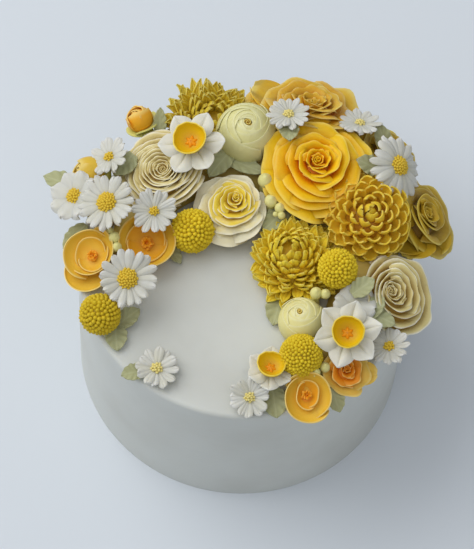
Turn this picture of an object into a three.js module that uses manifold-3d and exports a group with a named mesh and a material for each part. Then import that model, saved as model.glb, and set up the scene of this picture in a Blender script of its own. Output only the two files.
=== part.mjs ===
// A round buttercream cake with a wreath of piped flowers, leaves and berries on its top.
// Units are millimetres, +Z is up, and the origin is the middle of the cake's flat underside.
import * as THREE from 'three';
import { mergeVertices } from 'three/addons/utils/BufferGeometryUtils.js';
import Module from 'manifold-3d';

const wasm = await Module();
wasm.setup();

// Driving sizes
const CAKE_RADIUS = 75;
const CAKE_HEIGHT = 91;
const EDGE_ROUND = 2;
const CAKE_SIDES = 48;
const BED_RADIUS = 53;
const BED_HALF_WIDTH = 17;
const BED_HEIGHT = 9;
const BED_FROM = -88;
const BED_TO = 212;
const FOOT_INSIDE = 10;
const FOOT_DEPTH = 5;
const GAP = 0.3;
const SPARE = 0.06;
const TAU = 2 * Math.PI;
const RADIANS = Math.PI / 180;

// Colours of the creams
const IVORY = '#e9e6dc';
const WHITE = '#f1f0ea';
const CREAM = '#ebe4cb';
const PALE_GREEN = '#d9dc96';
const PALE_YELLOW = '#ead98a';
const GOLD = '#e0ac2c';
const ORANGE = '#e59a25';
const MUSTARD = '#c9a832';
const OLIVE = '#a8953a';
const SAGE = '#98a17d';

// Points round the axis in order of angle: shape(turn) gives [radius, height] for a turn from 0 to 1.
function ring(count, shape) {
  return Array.from({ length: count }, (_, index) => {
    const turn = index / count;
    const [radius, height, shift = 0] = typeof shape === 'function' ? shape(turn, index) : shape;
    const angle = TAU * (turn + shift);
    return new THREE.Vector3(radius * Math.cos(angle), radius * Math.sin(angle), height);
  });
}

// A mesh geometry from points and from the faces between them.
function surface(points, faces) {
  const geometry = new THREE.BufferGeometry().setFromPoints(points);
  geometry.setIndex(faces);
  return geometry;
}

// A closed skin from a top point, over a stack of rings, to a bottom point.
// Neighbouring rings may differ in count: the strip between them steps along both by angle.
function skin(topHeight, rings, bottom, [topX, topY] = [0, 0]) {
  const points = [new THREE.Vector3(topX, topY, topHeight)];
  const starts = [];
  for (const row of rings) {
    starts.push(points.length);
    points.push(...row);
  }
  const last = points.length;
  points.push(bottom);
  const at = (row, index) => starts[row] + (index % rings[row].length);
  const faces = [];
  rings[0].forEach((_, i) => faces.push(0, at(0, i), at(0, i + 1)));
  for (let row = 0; row + 1 < rings.length; row += 1) {
    const inner = rings[row].length;
    const outer = rings[row + 1].length;
    let i = 0;
    let j = 0;
    while (i < inner || j < outer) {
      const stepInner = i < inner && (i + 0.5) * outer < (j + 0.5) * inner;
      if (stepInner || j === outer) {
        faces.push(at(row, i), at(row + 1, j), at(row, i + 1));
        i += 1;
      } else {
        faces.push(at(row, i), at(row + 1, j), at(row + 1, j + 1));
        j += 1;
      }
    }
  }
  const foot = rings.length - 1;
  rings[foot].forEach((_, i) => faces.push(at(foot, i), last, at(foot, i + 1)));
  return surface(points, faces);
}

// A wave round the axis, used for the lobes of a whorl of petals.
const wave = (turn, petals, shift) => Math.cos(TAU * (petals * turn + shift));

// The piped foot that carries a flower: a short cone from under its petals to its end in the cake.
const foot = (radius, height, end) => [
  ring(7, [radius, height]),
  ring(6, [Math.max(0.7 * radius, 1.6), 0]).map((point) => point.add(end)),
];

// The plain outer form of a flower, a little larger than it, which its neighbours are cut with.
// The last row of the profile is the top of the foot.
function hull(profile, end) {
  const sides = 10;
  const clear = GAP + SPARE;
  const outside = 1 / Math.cos(Math.PI / sides);
  const rows = profile.map(([radius, height, lift = 0]) => ring(sides, [
    outside * (radius + clear), height + lift * clear,
  ]));
  const [footRadius] = profile[profile.length - 1];
  const sole = ring(sides, [outside * (footRadius + clear), 0]).map((point) => point.add(end));
  const under = end.clone().add(new THREE.Vector3(0, 0, -clear));
  return skin(profile[0][1] + clear, [...rows, sole], under);
}

// A daisy: a domed disc in a flat star of tongue-shaped petals, thin at their tips.
function daisy({ r, disc, petals = 13, cup = 0.1 }, end) {
  const thick = 1.2;
  const tongue = (turn, index) => [
    [0.56 * r, 0, 0],
    [0.98 * r, cup * r, -0.1 / petals],
    [0.98 * r, cup * r, 0.1 / petals],
  ][index % 3];
  const stem = 0.28 * r;
  return {
    skin: skin(0.5 * disc, [
      ring(6, [0.68 * disc, 0.36 * disc]),
      ring(7, [disc, 0]),
      ring(3 * petals, tongue),
      ring(petals, [0.52 * r, -thick]),
      ...foot(stem, -2 * thick, end),
    ], end),
    hull: [[0.8 * disc, 0.5 * disc, 1], [r, cup * r, 1], [r, cup * r - 0.2, -1], [0.52 * r, -thick, -1],
      [stem, -2 * thick, -1]],
  };
}

// A puffy blossom: a small raised centre in a whorl of broad rounded petals.
function blossom({ r, disc, petals = 6 }, end) {
  const thick = 1.6;
  const rounded = (turn) => {
    const swell = Math.abs(Math.sin(Math.PI * petals * turn));
    return [(0.66 + 0.34 * swell ** 0.6) * r, (0.1 + 0.12 * swell) * r];
  };
  const stem = 0.4 * r;
  return {
    skin: skin(0.6 * disc, [
      ring(8, [0.7 * disc, 0.45 * disc]),
      ring(9, [disc, 0.1 * r]),
      ring(4 * petals, rounded),
      ring(2 * petals, [0.7 * r, -0.8 * thick]),
      ...foot(stem, -2 * thick, end),
    ], end),
    hull: [[disc, 0.6 * disc, 1], [r, 0.22 * r, 1], [r, 0.1 * r], [0.7 * r, -0.8 * thick, -1],
      [stem, -2 * thick, -1]],
  };
}

// A daffodil: a round open cup on a star of six pointed petals.
function daffodil({ r, cup }, end) {
  const thick = 1.2;
  const pointed = (turn, index) => [
    [0.6 * r, 0],
    [0.87 * r, 0.02 * r],
    [r, 0.1 * r],
    [0.87 * r, 0.02 * r],
  ][index % 4];
  const stem = 0.3 * r;
  return {
    skin: skin(0.1 * cup, [
      ring(8, [0.5 * cup, 0.2 * cup]),
      ring(12, (turn) => [0.9 * cup, (0.72 + 0.05 * wave(turn, 3, 0)) * cup]),
      ring(12, (turn) => [cup, (0.7 + 0.05 * wave(turn, 3, 0)) * cup]),
      ring(9, [0.72 * cup, 0]),
      ring(24, pointed),
      ring(12, [0.56 * r, -thick]),
      ...foot(stem, -2 * thick, end),
    ], end),
    hull: [[cup, 0.78 * cup, 1], [0.8 * cup, 0.1 * r, 1], [r, 0.1 * r, 1], [r, 0.02 * r, -1],
      [0.56 * r, -thick, -1], [stem, -2 * thick, -1]],
  };
}

// Whorls of petals round a heart, from the inside out. Each has a raised rim and a fold outside it.
// rim and fold give [radius, height] for a whorl's share of the way out, from 0 to 1.
// The heart may sit off the middle: the whorls then shift with it, the inner ones most.
function whorls({ layers, sides, petals, lobe, rim, fold, heart }) {
  const rows = [];
  for (let layer = 1; layer <= layers; layer += 1) {
    const share = layer / layers;
    const count = Math.round(sides * (0.45 + 0.55 * share));
    const [rimRadius, rimHeight] = rim(share);
    const [foldRadius, foldHeight] = fold(share);
    const lobed = (turn) => wave(turn, petals, layer * 0.37);
    const shifted = (row) => row.map((point) => point.add(
      new THREE.Vector3((1 - share) * heart[0], (1 - share) * heart[1], 0)));
    rows.push(shifted(ring(count, (turn) => [
      rimRadius * (1 + lobe * lobed(turn)),
      rimHeight + 0.5 * lobe * rimRadius * lobed(turn),
    ])));
    if (layer < layers) {
      rows.push(shifted(ring(count, (turn) => [foldRadius * (1 + lobe * lobed(turn)), foldHeight])));
    }
  }
  return rows;
}

// A garden rose: a tight heart inside wider and lower whorls, the last one turned out.
function rose({ r, layers = 5, sides = 20, petals = 3, lobe = 0.06, tall = 0.42, heart = [0, 0] }, end) {
  const middle = heart.map((share) => share * r);
  const rim = (share) => [(0.1 + 0.9 * share) * r, tall * (1 - share ** 2) * r];
  const fold = (share) => {
    const [radius, height] = rim(share);
    return [radius + 0.02 * r, height - (0.1 + 0.12 * share) * r];
  };
  return {
    skin: skin((tall - 0.05) * r, [
      ...whorls({ layers, sides, petals, lobe, rim, fold, heart: middle }),
      ring(14, [0.8 * r, -0.22 * r]),
      ...foot(0.45 * r, -0.5 * r, end),
    ], end, middle),
    hull: [[0.32 * r, tall * r, 1], [0.72 * r, 0.62 * tall * r, 1], [r * (1 + lobe), 0.1 * r, 1],
      [r * (1 + lobe), -0.06 * r], [0.8 * r, -0.22 * r, -1], [0.45 * r, -0.5 * r, -1]],
  };
}

// A buttercup-like ranunculus: many thin whorls close together in a flat dome.
function ranunculus({ r, layers = 7, sides = 16, tall = 0.4, heart = [0, 0] }, end) {
  const middle = heart.map((share) => share * r);
  const rim = (share) => [(0.06 + 0.94 * share) * r, tall * (1 - share ** 2.4) * r];
  const fold = (share) => {
    const [radius, height] = rim(share);
    return [radius + 0.025 * r, height - 0.13 * r];
  };
  return {
    skin: skin((tall - 0.12) * r, [
      ...whorls({ layers, sides, petals: 2, lobe: 0.03, rim, fold, heart: middle }),
      ring(12, [0.85 * r, -0.3 * r]),
      ...foot(0.45 * r, -0.6 * r, end),
    ], end, middle),
    hull: [[0.5 * r, tall * r, 1], [0.8 * r, 0.7 * tall * r, 1], [1.03 * r, 0.03 * r, 1],
      [1.03 * r, -0.03 * r], [0.85 * r, -0.3 * r, -1], [0.45 * r, -0.6 * r, -1]],
  };
}

// A closed bud: smooth petals wrapped into an egg, with a small open swirl at its tip.
function wrapped({ r, tall = 0.95 }, end) {
  const egg = (latitude, swell = 0) => (turn) => {
    const flat = Math.cos(latitude * RADIANS);
    return [flat * r * (1 + swell * wave(turn, 3, latitude / 90)), Math.sin(latitude * RADIANS) * tall * r];
  };
  return {
    skin: skin(0.8 * tall * r, [
      ring(6, [0.08 * r, 0.74 * tall * r]),
      ring(8, [0.18 * r, 0.95 * tall * r]),
      ring(8, [0.22 * r, 0.84 * tall * r]),
      ring(10, [0.36 * r, 0.95 * tall * r]),
      ring(10, [0.42 * r, 0.84 * tall * r]),
      ring(14, egg(52, 0.03)),
      ring(14, egg(26, 0.05)),
      ring(14, egg(0, 0.04)),
      ring(12, egg(-28)),
      ...foot(0.5 * r, -0.75 * r, end),
    ], end),
    hull: [[0.42 * r, 0.96 * tall * r, 1], [0.66 * r, 0.8 * tall * r, 1], [0.96 * r, 0.44 * tall * r],
      [1.04 * r, 0], [0.9 * r, -0.45 * tall * r], [0.5 * r, -0.75 * r]],
  };
}

// An open cup flower: a low bowl of broad petals, one inside the other, round a sunk centre.
// An apron is one more petal, low down on the side of its bearing.
function bowl({ r, layers = 3, sides = 14, apron = [0, 0] }, end) {
  const [bearing, reach] = apron;
  const skirt = ring(sides, (turn) => {
    const towards = Math.max(0, Math.cos(TAU * turn - bearing * RADIANS));
    return [(0.9 + reach * towards) * r, (0.14 + 0.1 * towards) * r];
  });
  const rim = (share) => [(0.12 + 0.88 * share) * r, (0.05 + 0.4 * share) * r];
  const fold = (share) => {
    const [radius, height] = rim(share);
    return [radius + 0.05 * r, height - 0.25 * r];
  };
  return {
    skin: skin(-0.05 * r, [
      ring(7, [0.2 * r, -0.02 * r]),
      ...whorls({ layers, sides, petals: 2, lobe: 0.06, rim, fold, heart: [0, 0] }),
      ...(reach > 0 ? [ring(sides, [0.87 * r, 0.2 * r]), skirt] : []),
      ring(12, [0.82 * r, 0.03 * r]),
      ...foot(0.42 * r, -0.5 * r, end),
    ], end),
    hull: [[0.4 * r, 0.3 * r, 1], [1.05 * r, 0.48 * r, 1], [1.05 * r, 0.4 * r], [0.86 * r, 0.05 * r, -1],
      [0.42 * r, -0.5 * r, -1]],
  };
}

// A whorl of pointed petals as one ring: tips outside, and notches between them.
const star = (count, radius, height, notch, sink, shift) => ring(2 * count, (turn, index) => (
  index % 2 ? [notch * radius, height - sink, shift / count] : [radius, height, shift / count]));

// A chrysanthemum: whorls of long pointed petals, upright in the middle and spread at the outside.
function mum({ r, layers = 6, most = 19, tall = 0.55, heart = [0, 0] }, end) {
  const rows = [];
  const middle = heart.map((share) => share * r);
  for (let layer = 1; layer <= layers; layer += 1) {
    const share = layer / layers;
    const count = Math.round(4 + (most - 4) * share ** 0.8);
    const radius = (0.08 + 0.92 * share) * r;
    const height = tall * (1 - share ** 2.2) * r;
    const shift = new THREE.Vector3((1 - share) * middle[0], (1 - share) * middle[1], 0);
    for (const row of [
      star(count, radius, height, 0.76, 0.06 * r, 0.5 * (layer % 2)),
      ring(count, [0.76 * radius, height - 0.24 * r]),
    ]) rows.push(row.map((point) => point.add(shift)));
  }
  return {
    skin: skin((tall - 0.15) * r, [...rows, ...foot(0.42 * r, -0.5 * r, end)], end, middle),
    hull: [[0.45 * r, tall * r, 1], [0.8 * r, 0.62 * tall * r, 1], [r, 0.04 * r, 1], [r, -0.04 * r],
      [0.76 * r, -0.25 * r, -1], [0.42 * r, -0.5 * r, -1]],
  };
}

// A pompon dahlia: rows of blunt scooped petals all over a ball.
function dahlia({ r, rows: latitudes = 6, most = 14, flat = 0.8 }, end) {
  const rows = [];
  for (let row = 0; row < latitudes; row += 1) {
    const polar = (14 + 17 * row) * RADIANS;
    const count = Math.round(4 + (most - 4) * Math.sin(polar) ** 0.9);
    const ball = (size, angle) => [size * r * Math.sin(angle), size * flat * r * Math.cos(angle)];
    const blunt = (turn, index) => [
      [...ball(0.8, polar), 0.5 * (row % 2) / count],
      [...ball(1, polar + 0.05), (0.5 * (row % 2) - 0.08) / count],
      [...ball(1, polar + 0.05), (0.5 * (row % 2) + 0.08) / count],
    ][index % 3];
    rows.push(ring(3 * count, blunt));
    rows.push(ring(count, ball(0.74, polar + 9 * RADIANS)));
  }
  return {
    skin: skin(0.6 * flat * r, [...rows, ...foot(0.42 * r, -0.52 * r, end)], end),
    hull: [[0.3 * r, flat * r, 1], [0.72 * r, 0.66 * r, 1], [r, 0.25 * r], [r, -0.16 * r],
      [0.72 * r, -0.4 * r, -1], [0.42 * r, -0.55 * r, -1]],
  };
}

// A craspedia: a ball of tiny piped beads, here a ball whose alternate points stand proud.
function craspedia({ r, sides = 14, rows = 7 }, end) {
  const bead = 0.06;
  const bumpy = (row) => (turn, index) => {
    const size = r * (1 + ((row + index) % 2 ? bead : 0));
    const latitude = Math.PI * (0.5 - row / rows);
    return [size * Math.cos(latitude), size * Math.sin(latitude)];
  };
  const belts = Array.from({ length: rows - 2 }, (_, i) => ring(sides, bumpy(i + 1)));
  return {
    skin: skin(r, [...belts, ...foot(0.42 * r, -0.92 * r, end)], end),
    hull: [[0.45 * r, 0.97 * r, 1], [0.86 * r, 0.64 * r, 1], [1.08 * r, 0.1 * r], [1.04 * r, -0.3 * r],
      [0.7 * r, -0.8 * r], [0.42 * r, -r, -1]],
  };
}

// A small shut bud: three petals drawn together to a blunt tip.
function bud({ r, tall = 1.1 }, end) {
  const belt = (radius, height, swell) => ring(9, (turn) => [
    radius * r * (1 + swell * wave(turn, 3, height)), height * tall * r]);
  return {
    skin: skin(0.7 * tall * r, [
      belt(0.42, 0.82, 0.12),
      belt(0.86, 0.45, 0.1),
      belt(1, 0, 0.06),
      belt(0.75, -0.55, 0),
      ...foot(0.6 * r, -0.9 * r, end),
    ], end),
    hull: [[0.45 * r, 0.85 * tall * r, 1], [0.92 * r, 0.48 * tall * r], [1.04 * r, 0],
      [0.75 * r, -0.6 * tall * r], [0.6 * r, -0.9 * r, -1]],
  };
}

// Every flower: its name, form, colour and sizes, the place of its middle (height over the cake's
// top), the bearing and angle in degrees that it leans at, and its turn about its own axis.
const FLOWERS = [
  ['daffodil_left', daffodil, WHITE, { r: 14.8, cup: 7 }, [-28, 45.5, 24], [-153, 18], 8],
  ['daisy_left_large', daisy, WHITE, { r: 13.5, disc: 4.8, petals: 16 }, [-63.5, 15, 20], [-150, 22]],
  ['daisy_left_inner', daisy, WHITE, { r: 10.5, disc: 2.2, petals: 13 },
    [-42.5, 12.5, 20], [-85, 18], 10],
  ['daisy_left_front', daisy, WHITE, { r: 13.5, disc: 4.8, petals: 15 }, [-51.5, -20, 17], [-85, 20], 5],
  ['daisy_back', daisy, WHITE, { r: 10, disc: 2.4, petals: 12 }, [14, 61.5, 28], [95, 14]],
  ['daisy_right_large', daisy, WHITE, { r: 13, disc: 4.6, petals: 15 }, [63.5, 44.5, 18], [-10, 26], 4],
  ['daisy_right_back', daisy, WHITE, { r: 10, disc: 2.2, petals: 11 }, [46.5, 65, 18], [85, 28]],
  ['dahlia', dahlia, MUSTARD, { r: 19.5 }, [53.5, 21, 12], [-70, 12]],
  ['rose_large', rose, GOLD, { r: 24, layers: 5, sides: 18 }, [28.5, 41, 19], [-90, 4]],
  ['craspedia_right', craspedia, MUSTARD, { r: 9 }, [40.5, -9, 19], [-60, 25]],
  ['daffodil_right', daffodil, WHITE, { r: 15.5, cup: 7.3 }, [46.5, -38.5, 17], [-90, 16], 18],
  ['craspedia_front', craspedia, MUSTARD, { r: 9.4 }, [27, -48, 11], [-90, 18]],
  ['daffodil_front', daffodil, WHITE, { r: 10.8, cup: 5.8 }, [14, -55, 9], [60, 6], 30],
  ['daisy_front_right', daisy, WHITE, { r: 9.5, disc: 2.4, petals: 12 }, [6, -67, 5], [-95, 22]],
  ['cup_front', bowl, ORANGE, { r: 10 }, [31, -64, 2], [-80, 20]],
  ['craspedia_left_inner', craspedia, MUSTARD, { r: 9.2 }, [-25, 9.5, 9.5], [-60, 12]],
  ['craspedia_left_front', craspedia, MUSTARD, { r: 9 }, [-62.5, -34.5, 9], [-150, 20]],
  ['ranunculus_green', wrapped, PALE_GREEN, { r: 13.6 }, [-4, 58.5, 14], [-90, 2], 30],
  ['rose_pale', rose, PALE_YELLOW, { r: 16, layers: 4, sides: 18, heart: [0.05, 0.2] },
    [-9, 21, 11], [-120, 12]],
  ['mum_front', mum, MUSTARD, { r: 21.5, layers: 5, most: 16, tall: 0.6, heart: [0, 0.1] },
    [22.8, -2.2, 7], [-90, 2]],
  ['cup_left_inner', bowl, ORANGE, { r: 11.6 }, [-44.5, 3, 8], [-85, 16], 60],
  ['cup_left_outer', bowl, ORANGE, { r: 11, apron: [-100, 0.5] }, [-69, -4, 5], [-150, 20]],
  ['blossom_left', blossom, WHITE, { r: 12.2, disc: 4.2, petals: 6 }, [-78.5, 22.5, 8], [-172, 30]],
  ['daisy_left_back', daisy, WHITE, { r: 10, disc: 2.4, petals: 12 }, [-64.5, 40, 15], [172, 28]],
  ['bud_yellow', bud, PALE_YELLOW, { r: 6 }, [-74.5, 37, 6], [155, 42]],
  ['bud_orange', bud, ORANGE, { r: 6 }, [-52.8, 63.5, 9], [130, 30]],
  ['ranunculus_left', ranunculus, CREAM, { r: 18, layers: 5, sides: 14, heart: [0.05, -0.12] },
    [-40.5, 36, 12], [-175, 18]],
  ['mum_back', mum, MUSTARD, { r: 21, layers: 4, most: 16 }, [-23.5, 67.5, 10], [95, 24]],
  ['rose_back', rose, GOLD, { r: 25, layers: 4, sides: 14, heart: [0.2, -0.2] },
    [22, 75.5, 11], [80, 32]],
  ['rose_olive', rose, OLIVE, { r: 13, layers: 4, sides: 14 }, [61.5, 60.5, 4], [35, 34]],
  ['rose_mustard', rose, OLIVE, { r: 18.5, layers: 4, sides: 18 }, [80, 30, 0], [10, 46]],
  ['ranunculus_right', ranunculus, CREAM, { r: 17.5, layers: 5, sides: 14, heart: [-0.32, -0.05] },
    [67.5, -13, 7], [-20, 18]],
  ['ranunculus_bud', wrapped, PALE_GREEN, { r: 10.4 }, [26.5, -29, 6], [150, 12]],
  ['blossom_right', blossom, WHITE, { r: 8.8, disc: 2.4, petals: 6 }, [50, -14, 11], [-60, 12]],
  ['rose_orange', bowl, ORANGE, { r: 10.8, sides: 12, apron: [5, 0.45] }, [47.5, -50, 1], [-50, 28]],
  ['daisy_right_front', daisy, WHITE, { r: 9.5, disc: 2.4, petals: 12 }, [65.5, -37.5, 3], [-40, 28]],
  ['daisy_alone', daisy, WHITE, { r: 9.8, disc: 2.6, petals: 12 }, [-35.7, -56, 3.2], [-90, 3]],
];

// Groups of piped berries: the middle of each berry (height over the cake's top) and its radius.
const BERRIES = [
  { name: 'berries_left', beads: [[-59.2, 0.2, 9, 2.6], [-58, -3.6, 8, 2.2]] },
  { name: 'berry_middle', beads: [[5.8, 34, 16, 3.4]] },
  { name: 'berries_middle', beads: [[9, 24.8, 14.5, 3], [13.4, 21.4, 14.5, 2.6]] },
  { name: 'berries_right', beads: [[31.8, -18.6, 14, 2.7], [36, -18.7, 14, 2.3]] },
  { name: 'berries_front', beads: [[37.9, -51.8, 9, 2.3], [34.8, -54.6, 8.6, 2.3]] },
];

// Leaves, each of one or two blades: the root and the tip of a blade (heights over the cake's top),
// and its width.
const LEAVES = [
  { name: 'leaf_left_outer', blades: [{ root: [-78, 29, 4], tip: [-94, 34, 3], width: 10 }] },
  { name: 'leaf_left_low', blades: [{ root: [-73, 12.5, 1], tip: [-82, 0, 0], width: 8 }] },
  { name: 'leaf_left_back', blades: [{ root: [-53, 42, 15], tip: [-65.5, 31.5, 15], width: 11 }] },
  { name: 'leaf_back_left', blades: [{ root: [-43.4, 57, 7], tip: [-44, 68, 14], width: 6 }] },
  { name: 'leaf_left_inner', blades: [{ root: [-36.5, 6, 2.4], tip: [-29, -3.5, 1.6], width: 6 }] },
  { name: 'leaf_front_left', blades: [
    { root: [-55.5, -37, 2], tip: [-45.5, -28, 3], width: 9 },
    { root: [-56, -35.5, 2], tip: [-53, -50, 1.4], width: 12 },
  ] },
  { name: 'leaf_alone', blades: [{ root: [-41, -56.5, 1.3], tip: [-51, -60, 1.3], width: 8 }] },
  { name: 'leaf_middle', blades: [
    { root: [-10.5, 50, 12], tip: [-19.5, 36, 11], width: 10 },
    { root: [-12.5, 46, 11.5], tip: [5, 40, 11], width: 8.5 },
  ] },
  { name: 'leaf_back_middle', blades: [{ root: [14, 58.8, 26.5], tip: [14.5, 49.6, 30.5], width: 7.5 }] },
  { name: 'leaf_centre', blades: [{ root: [16.5, 24.5, 8], tip: [6.5, 12.5, 8], width: 10 }] },
  { name: 'leaf_right_back', blades: [{ root: [57, 41.5, 17], tip: [45.5, 44.8, 22], width: 9.5 }] },
  { name: 'leaf_back_right', blades: [{ root: [60, 56.5, 10], tip: [54.5, 66.6, 17], width: 8 }] },
  { name: 'leaf_right_upper', blades: [{ root: [47, -17.5, 13], tip: [57, -11, 17], width: 9 }] },
  { name: 'leaf_right_inner', blades: [{ root: [54.5, -22, 10], tip: [67, -28.5, 9], width: 13 }] },
  { name: 'leaf_bud_side', blades: [{ root: [17, -15, 2], tip: [14, -30.5, 1.6], width: 11 }] },
  { name: 'leaf_front_middle', blades: [{ root: [15.5, -60, 1.4], tip: [18.5, -73.5, -1], width: 12 }] },
  { name: 'leaf_front_right', blades: [{ root: [41.5, -58, 1], tip: [46, -67, -4], width: 8 }] },
];

// The frame of a flower: its middle, with its axis leaning and turned.
function flowerFrame([x, y, height], [bearing, tilt], spin) {
  const side = new THREE.Vector3(-Math.sin(bearing * RADIANS), Math.cos(bearing * RADIANS), 0);
  return new THREE.Matrix4()
    .makeTranslation(x, y, CAKE_HEIGHT + height)
    .multiply(new THREE.Matrix4().makeRotationAxis(side, tilt * RADIANS))
    .multiply(new THREE.Matrix4().makeRotationZ(spin * RADIANS));
}

// Where a flower's foot ends, in the flower's own frame: below it and well inside the cake.
function footEnd([x, y], frame) {
  const distance = Math.hypot(x, y);
  const inwards = Math.min(1, (CAKE_RADIUS - FOOT_INSIDE) / distance);
  return new THREE.Vector3(x * inwards, y * inwards, CAKE_HEIGHT - FOOT_DEPTH)
    .applyMatrix4(frame.clone().invert());
}

// A closed mesh geometry as a solid that can be joined and cut.
function solidOf(geometry) {
  const bare = geometry.clone();
  bare.deleteAttribute('normal');
  bare.deleteAttribute('uv');
  const merged = mergeVertices(bare, 1e-4);
  return new wasm.Manifold(new wasm.Mesh({
    numProp: 3,
    vertProperties: merged.attributes.position.array,
    triVerts: new Uint32Array(merged.index.array),
  }));
}

// A solid's largest body, without the scraps that a cut leaves.
function largest(solid) {
  const bodies = solid.decompose();
  return bodies.reduce((best, body) => (body.volume() > best.volume() ? body : best), bodies[0]);
}

// A named mesh from a solid.
function meshOf(name, solid, color, roughness = 0.55) {
  const { vertProperties, triVerts } = solid.getMesh();
  const geometry = new THREE.BufferGeometry();
  geometry.setAttribute('position', new THREE.BufferAttribute(new Float32Array(vertProperties), 3));
  geometry.setIndex(new THREE.BufferAttribute(new Uint32Array(triVerts), 1));
  geometry.computeVertexNormals();
  const mesh = new THREE.Mesh(geometry, new THREE.MeshStandardMaterial({ color, roughness, metalness: 0 }));
  mesh.name = name;
  return mesh;
}

// The cake: a plain drum with a softly rounded top edge. A margin makes it larger all round.
function drum(margin) {
  const radius = CAKE_RADIUS + margin;
  const height = CAKE_HEIGHT + margin;
  const corner = [0, 45, 90].map((angle) => ring(CAKE_SIDES, [
    radius - EDGE_ROUND * (1 - Math.sin(angle * RADIANS)),
    height - EDGE_ROUND * (1 - Math.cos(angle * RADIANS)),
  ]));
  const under = new THREE.Vector3(0, 0, -margin);
  return solidOf(skin(height, [...corner, ring(CAKE_SIDES, [radius, -margin])], under));
}

// The bed: a low ridge of cream round the top, under the flowers, which falls away at its two ends.
function bed(margin) {
  const steps = 14;
  const arch = [0, 45, 90, 135, 180];
  const sunk = 1;
  const points = [];
  for (let step = 0; step <= steps; step += 1) {
    const share = step / steps;
    const bearing = (BED_FROM + (BED_TO - BED_FROM) * share) * RADIANS;
    const swell = Math.sin(Math.PI * Math.min(1, Math.max(0.06, Math.min(share, 1 - share) * 2.4)) / 2);
    for (const angle of arch) {
      const across = BED_RADIUS + (swell * BED_HALF_WIDTH + margin) * Math.cos(angle * RADIANS);
      const above = (swell * BED_HEIGHT + margin + sunk) * Math.sin(angle * RADIANS) - sunk;
      points.push(new THREE.Vector3(
        across * Math.cos(bearing), across * Math.sin(bearing), CAKE_HEIGHT + above));
    }
  }
  const wide = arch.length;
  const faces = [];
  for (let step = 0; step < steps; step += 1) {
    for (let side = 0; side < wide; side += 1) {
      const near = step * wide + side;
      const next = step * wide + ((side + 1) % wide);
      faces.push(near, near + wide, next + wide, near, next + wide, next);
    }
  }
  const far = steps * wide;
  for (let side = 1; side + 1 < wide; side += 1) {
    faces.push(0, side, side + 1);
    faces.push(far, far + side + 1, far + side);
  }
  return solidOf(surface(points, faces));
}

// A blade of a leaf: thin, with a sunk midrib and waved edges, and pointed at its tip.
// Both faces have the same triangles. A margin makes it larger all round.
function leafBlade({ root, tip, width }, margin) {
  const from = new THREE.Vector3(...root);
  const along = new THREE.Vector3(...tip).sub(from);
  const length = along.length();
  const stations = [[0, 0.2], [0.3, 0.48], [0.64, 0.46], [0.88, 0.24]];
  const thick = 1.1;
  const sides = [1, 0, -1];
  const points = [];
  for (const face of [1, -1]) {
    const lift = face * (0.5 * thick + margin);
    stations.forEach(([share, half], station) => {
      for (const side of sides) {
        const ruffle = 0.05 * width * Math.cos(Math.PI * (station + 0.5 * side));
        const raised = Math.abs(side) * (0.28 * width * half + ruffle);
        const start = station === 0 ? margin : 0;
        const across = side * (half * width + margin);
        points.push(new THREE.Vector3(share * length - start, across, raised + lift));
      }
    });
    points.push(new THREE.Vector3(length + margin, 0, 0.06 * width + 0.6 * lift));
  }
  const wide = sides.length;
  const top = stations.length * wide;
  const under = top + 1;
  const faces = [];
  const quad = (a, b, c, d) => faces.push(a, b, c, a, c, d);
  for (let row = 0; row + 1 < stations.length; row += 1) {
    for (let side = 0; side + 1 < wide; side += 1) {
      const near = row * wide + side;
      quad(near, near + 1, near + wide + 1, near + wide);
      quad(under + near, under + near + wide, under + near + wide + 1, under + near + 1);
    }
    const left = row * wide;
    const right = left + wide - 1;
    quad(left, left + wide, under + left + wide, under + left);
    quad(right, under + right, under + right + wide, right + wide);
  }
  const last = top - wide;
  faces.push(last, last + 1, top, last + 1, last + 2, top);
  faces.push(under + last + 1, under + last, under + top, under + last + 2, under + last + 1, under + top);
  quad(last, top, under + top, under + last);
  quad(top, last + 2, under + last + 2, under + top);
  quad(1, 0, under, under + 1);
  quad(2, 1, under + 1, under + 2);
  const forward = along.normalize();
  const sideways = new THREE.Vector3(0, 0, 1).cross(forward).normalize();
  const up = forward.clone().cross(sideways);
  const frame = new THREE.Matrix4()
    .makeBasis(forward, sideways, up)
    .setPosition(from.x, from.y, CAKE_HEIGHT + from.z);
  return solidOf(surface(points, faces).applyMatrix4(frame));
}

// A leaf of one blade, or of two that grow from one root.
const leaf = ({ blades }, margin = 0) => blades
  .map((blade) => leafBlade(blade, margin))
  .reduce((whole, blade) => whole.add(blade));

// A group of berries: balls that touch, on one short piped stem down to the cake.
function sprig({ beads }, margin = 0) {
  const balls = beads.map(([x, y, height, radius]) => {
    const Ball = radius > 2.65 ? THREE.IcosahedronGeometry : THREE.OctahedronGeometry;
    return solidOf(new Ball(radius + margin, 1).translate(x, y, CAKE_HEIGHT + height));
  });
  const [x, y, height, radius] = beads[0];
  const sole = new THREE.Vector3(0, 0, -height - FOOT_DEPTH);
  const stem = solidOf(skin(0, [
    ring(6, [0.6 * radius + margin, -0.5 * radius]),
    ring(6, [0.9 * radius + margin, sole.z]),
  ], sole).translate(x, y, CAKE_HEIGHT + height));
  return balls.reduce((whole, ball) => whole.add(ball), stem);
}

// The pieces already in place, each a little enlarged, which later pieces are cut with.
const placed = [];

function meets(a, b) {
  return [0, 1, 2].every((axis) => a.min[axis] < b.max[axis] && b.min[axis] < a.max[axis]);
}

// Cuts a piece clear of everything already in place, and adds its own enlarged form to that.
function fit(solid, enlarged) {
  const box = solid.boundingBox();
  let clear = solid;
  for (const other of placed) {
    if (meets(box, other.box)) clear = clear.subtract(other.solid);
  }
  placed.push({ solid: enlarged, box: enlarged.boundingBox() });
  return largest(clear);
}

const cake = new THREE.Group();

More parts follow.
